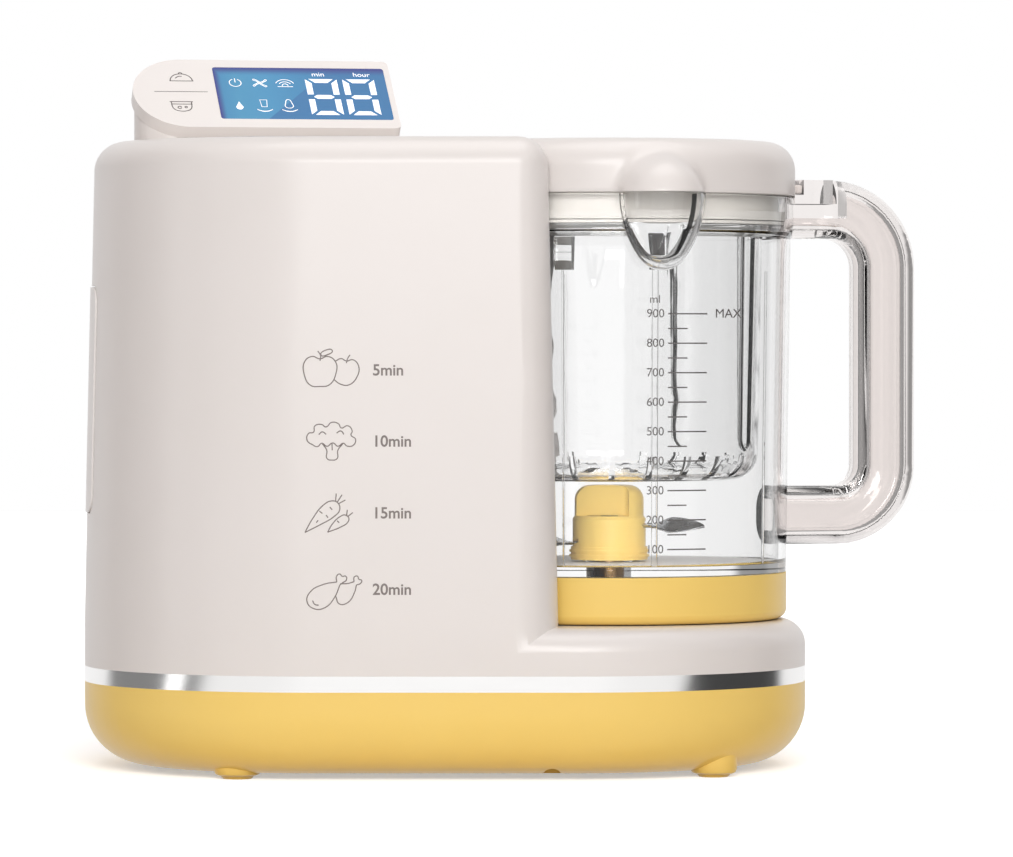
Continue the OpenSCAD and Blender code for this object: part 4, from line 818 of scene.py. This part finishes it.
def round_jug(point):
    """Wraps a flat drawing round the jug's front; what is seen square on keeps its place."""
    angle = math.asin(point.x / jug_wall_r)
    r = jug_wall_r + point.z - (collar_z - point.y) * narrows
    return Vector((jug_x + r * math.sin(angle), -r * math.cos(angle), point.y))


inked("jug_scale", one_mesh(marks), Matrix.Identity(4), dark_ink, "jug",
      bend=round_jug)

# Lid ------------------------------------------------------------------------
# A domed white ABS cap over a clear plug. It swells softly over the spout, has a steam port in
# its left side, and a lug that turns into the catch on the handle.


def new_piece(name, mesh_maker, material, body, replaced=(), recalculate=True):
    """Turns a bmesh into a smooth-shaded piece that rides on its body."""
    bmesh.ops.remove_doubles(mesh_maker, verts=mesh_maker.verts, dist=0.000004)
    if recalculate:
        bmesh.ops.recalc_face_normals(mesh_maker, faces=mesh_maker.faces)
    piece = new_object(name, mesh_maker)
    piece.data.shade_smooth()
    piece.data.materials.append(material)
    put_on_body(piece, body, replaced)
    return piece


lid_r, lid_low, lid_high, lid_edge, lid_wall = 62.9, 193.3, 211.5, 9.5, 2.2
lip = lid_low + 0.5
shell = lathe(
    [(lid_r - 0.4, lid_low), (lid_r - 0.1, lid_low + 0.15), (lid_r, lip)]
    + [(lid_r, lip + 8.2 * step / 8) for step in range(1, 9)]
    + arc(lid_r - lid_edge, lid_high - lid_edge, lid_edge, 6, 90, 14)
    + [(r, lid_high) for r in (50.0, 42.0, 30.0, 14.0, 0.0)], 360, False)
# The swelling: a ball round the spout's axis, blended into the wall. Below the lip it goes
# straight down, so that the wall's inner face stays clear of the jug's rim
ball = at_jug_axis(spout_turn, spout_reach, 191.3)
ball_r, blend_wide, smoothings = 0.0143, 0.005, 9
swollen = []
shell.normal_update()
for vertex in shell.verts:
    below_lip = vertex.co.z < (lip - 0.3) / 1000
    push = Vector((vertex.normal.x, vertex.normal.y, max(0.0, vertex.normal.z)))
    away = vertex.co - ball
    if below_lip or push.length < 0.1:
        push = Vector((vertex.co.x - jug_x, vertex.co.y, 0.0))
    if below_lip:
        away.z = lip / 1000 - ball.z
    push.normalize()
    if away.length < ball_r:
        reach = away.dot(push)
        vertex.co += push * (math.sqrt(reach ** 2 + ball_r ** 2 - away.length_squared) - reach)
    if away.length < ball_r + blend_wide and vertex.co.z > (lip + 0.1) / 1000:
        swollen.append(vertex)
for _ in range(smoothings):
    bmesh.ops.smooth_vert(shell, verts=swollen, factor=0.5, use_axis_x=True, use_axis_y=True,
                          use_axis_z=True)
# The steam port in the left side, cut round its axis by planes
port = Vector((jug_x - lid_r / 1000, 0.0, 0.1995))
port_r, port_sides = 0.003, 16


def from_port(point):
    """How far a point lies from the port's axis, if it is on that side of the lid."""
    off = Vector((0.0, point.y - port.y, point.z - port.z))
    return off.length if point.x < jug_x - 0.05 else 1.0


for step in range(port_sides):
    side_turn = 2 * math.pi * step / port_sides
    outward = Vector((0.0, math.cos(side_turn), math.sin(side_turn)))
    near = [face for face in shell.faces if from_port(face.calc_center_median()) < 0.005]
    around = [part for face in near for part in [face, *face.edges, *face.verts]]
    bmesh.ops.bisect_plane(shell, geom=list(dict.fromkeys(around)), dist=0.000001,
                           plane_co=port + outward * port_r, plane_no=outward)
gone = [face for face in shell.faces if from_port(face.calc_center_median()) < port_r + 0.00005
        and all(from_port(corner.co) < port_r + 0.0001 for corner in face.verts)]
bmesh.ops.delete(shell, geom=gone, context="FACES")
lid_shell = new_piece("lid_shell", shell, white_abs, "lid", ["lid_cap"],
                      recalculate=False)
wall = lid_shell.modifiers.new("wall", "SOLIDIFY")
wall.thickness = lid_wall / 1000
wall.offset = -1.0
# The lug points to the handle, which stands 15 degrees round to the back
lug = rounded_block((0.0056, 0.009, 0.003), 0.0006)
move_part(lug, 0.0641, 0.0, 0.196)
turn_part(lug, math.radians(15), "Z")
move_part(lug, jug_x, 0.0, 0.0)
new_piece("lid_lug", lug, white_abs, "lid")

# Steam basket ---------------------------------------------------------------
# The clear basket has two tabs inside its rim, for lifting it out. A thin, nearly black block
# on the right one's inner face is painted shade, for a dark gap seen there.

# Painted shade: nearly black and dull, for the dark gap behind the right tab
painted_shade_black = moulded_plastic("painted_shade_dull_black", "#262221", "#2d2927", 0.4, 0.01,
                                Roughness=0.55, IOR=1.41)
tab_turn, tab_lean = math.radians(18.6 - 90), math.radians(-5)
shade_block_r, shade_block_low, shade_block_high = 45.2, 171.0, 179.8
shade_block_shape = rounded_block((0.001, 0.0059, (shade_block_high - shade_block_low) / 1000), 0.0004)
turn_part(shade_block_shape, tab_lean, "Y")
turn_part(shade_block_shape, tab_turn, "Z")
move_part(shade_block_shape, *at_jug_axis(tab_turn, shade_block_r, (shade_block_low + shade_block_high) / 2))
new_piece("painted_shade_block", shade_block_shape, painted_shade_black, "basket")

# Blades ---------------------------------------------------------------------
# Two blades stamped from hardened stainless steel, ground along both edges. Each leaves the hub
# flat and then twists, so that it lifts what it cuts.

# Bright hard steel; the grinding leaves scratches about 1 mm apart that dull it here and there
ground_steel, tree, shader = new_material(
    "ground_stainless_steel", Base_Color=linear("#b9babc"), Metallic=1.0)
coords = add_node(tree, "ShaderNodeTexCoord")
scratches = add_node(tree, "ShaderNodeTexNoise", {
    "Vector": coords.outputs["Object"], "Scale": 900.0, "Detail": 3.0})
dull = add_node(tree, "ShaderNodeMapRange", {
    "Value": scratches.outputs["Fac"], "To Min": 0.16, "To Max": 0.34})
tree.links.new(dull.outputs[0], shader.inputs["Roughness"])


def blade_half(along):
    """Half a blade's width in millimetres, from its root at 0 to its point at 1."""
    along = min(1.0, max(0.0, along))
    return 4.4 * max(0.0, math.sin(math.radians(28 + 152 * along ** 1.25))) ** 0.8 + 0.05


blade_root, blade_tip, blade_thick, blade_sweep = 9.0, 33.5, 1.1, 3.2
steel = bmesh.new()
for place, height, tilt in ((-14.0, 82.4, 34.0), (170.0, 76.4, -26.0)):
    blade = bmesh.new()
    bmesh.ops.create_grid(blade, x_segments=28, y_segments=6, size=0.5)
    for vertex in blade.verts:
        along, across = vertex.co.x + 0.5, vertex.co.y * 2
        half = blade_half(along)
        sweep = blade_sweep * along ** 2
        vertex.co = Vector((blade_root + (blade_tip - blade_root) * along,
                            across * half - sweep, 0.0)) / 1000
    bmesh.ops.solidify(blade, geom=blade.faces[:], thickness=blade_thick / 1000)
    for vertex in blade.verts:
        along = max(0.0, (vertex.co.x * 1000 - blade_root) / (blade_tip - blade_root))
        middle = -blade_sweep * along ** 2 / 1000
        ease = min(1.0, max(0.0, (along - 0.18) / 0.35))
        twist = math.radians(tilt) * ease * ease * (3 - 2 * ease)
        half = blade_half(along) / 1000
        # The edges are ground thin
        thin = max(0.15, 1.0 - max(0.0, abs(vertex.co.y - middle) / half - 0.55) * 2.0)
        y, z = vertex.co.y - middle, vertex.co.z * thin
        vertex.co.y = middle + y * math.cos(twist) - z * math.sin(twist)
        vertex.co.z = y * math.sin(twist) + z * math.cos(twist)
    turn_part(blade, math.radians(place), "Z")
    move_part(blade, jug_x, 0.0, height / 1000)
    add_part(steel, blade)
new_piece("cutting_blades", steel, ground_steel, "blade", ["blades"])

# Inner parts ----------------------------------------------------------------
# What sits inside the housing, or under the lid and the jug: moulded nylon, ABS and silicone,
# cast and turned metal, and two lacquered circuit boards. Screws and snaps hold them.

# Nylon and inner ABS come dull from the mould, silicone duller still; metals are left bare
inner_white = moulded_plastic("moulded_inner_abs", "#e4e0da", "#ddd8d1", 0.5, 0.01,
                              Roughness=0.5, IOR=1.53)
dark_nylon = moulded_plastic("moulded_dark_nylon", "#2a2c2f", "#33363a", 0.4, 0.01,
                             Roughness=0.5, IOR=1.53)
grey_nylon = moulded_plastic("moulded_grey_nylon", "#6d7276", "#777c80", 0.4, 0.01,
                             Roughness=0.5, IOR=1.53)
green_board = moulded_plastic("lacquered_glass_fibre", "#2f7a4a", "#2a6f43", 0.3, 0.005,
                              Roughness=0.35, IOR=1.5)
pale_silicone = moulded_plastic("moulded_silicone", "#e4e0da", "#dcd7d0", 0.3, 0.01,
                                Roughness=0.6, IOR=1.41)
yellow_silicone = moulded_plastic("moulded_yellow_silicone", "#f4cf6d", "#efc961", 0.3, 0.01,
                                  Roughness=0.6, IOR=1.41)
bronze = moulded_plastic("turned_bronze", "#b58a4a", "#a97f42", 0.3, 0.005,
                         Metallic=1.0, Roughness=0.3)
cast_metal = moulded_plastic("cast_aluminium", "#b4b6b8", "#a6a8ab", 0.6, 0.03,
                             Metallic=1.0, Roughness=0.45)
plated_steel = moulded_plastic("plated_steel", "#c4c6c8", "#b9bbbe", 0.4, 0.004,
                               Metallic=1.0, Roughness=0.25)
for material, names in (
        (inner_white, "chassis tank_sleeve cord_gland lid_plug steam_duct"),
        (dark_nylon, "display_module thermostat interlock_switch motor_pulley drive_pulley "
                     "drive_coupling driven_coupling drive_belt shaft_seal"),
        (grey_nylon, "tank_dock water_pump bearing_housing tank_valve"),
        (green_board, "display_board power_board"),
        (pale_silicone, "feed_hose boiler_hose steam_pipe steam_seal base_seal lid_gasket"),
        (yellow_silicone, "tank_cap interlock_pin"),
        (bronze, "post_bush"),
        (cast_metal, "boiler motor_body motor_mount"),
        (plated_steel, "base_screws boiler_bracket motor_shaft drive_shaft blade_shaft")):
    for name in names.split():
        finish_node(name, material)

# Interlock spring -----------------------------------------------------------
# A small coil wound from plated steel wire. It stands on the switch under the pin's flange.

spring_foot, spring_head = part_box("interlock_spring")
spring_middle = (spring_foot + spring_head) / 2
turns, steps_a_turn, wire_r, pin_travel = 6.5, 20, 0.00032, 0.0025
coil_r = (spring_head.x - spring_foot.x) / 2 - wire_r
coil_rise = spring_head.z - spring_foot.z - 2.2 * wire_r
coil_steps = int(turns * steps_a_turn)
coil = bmesh.new()
bmesh.ops.create_circle(coil, segments=8, radius=wire_r)
turn_part(coil, math.pi / 2, "X")
move_part(coil, coil_r, 0.0, 0.0)
bmesh.ops.spin(coil, geom=coil.verts[:] + coil.edges[:], cent=(0.0, 0.0, 0.0),
               axis=(0.0, 0.0, 1.0), dvec=(0.0, 0.0, coil_rise / coil_steps),
               angle=2 * math.pi * turns, steps=coil_steps)
bmesh.ops.holes_fill(coil, edges=[edge for edge in coil.edges if edge.is_boundary])
move_part(coil, spring_middle.x, spring_middle.y, spring_foot.z + 1.1 * wire_r)
spring = new_piece("coil_spring", coil, plated_steel, "machine",
                   ["interlock_spring"])
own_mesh(spring)
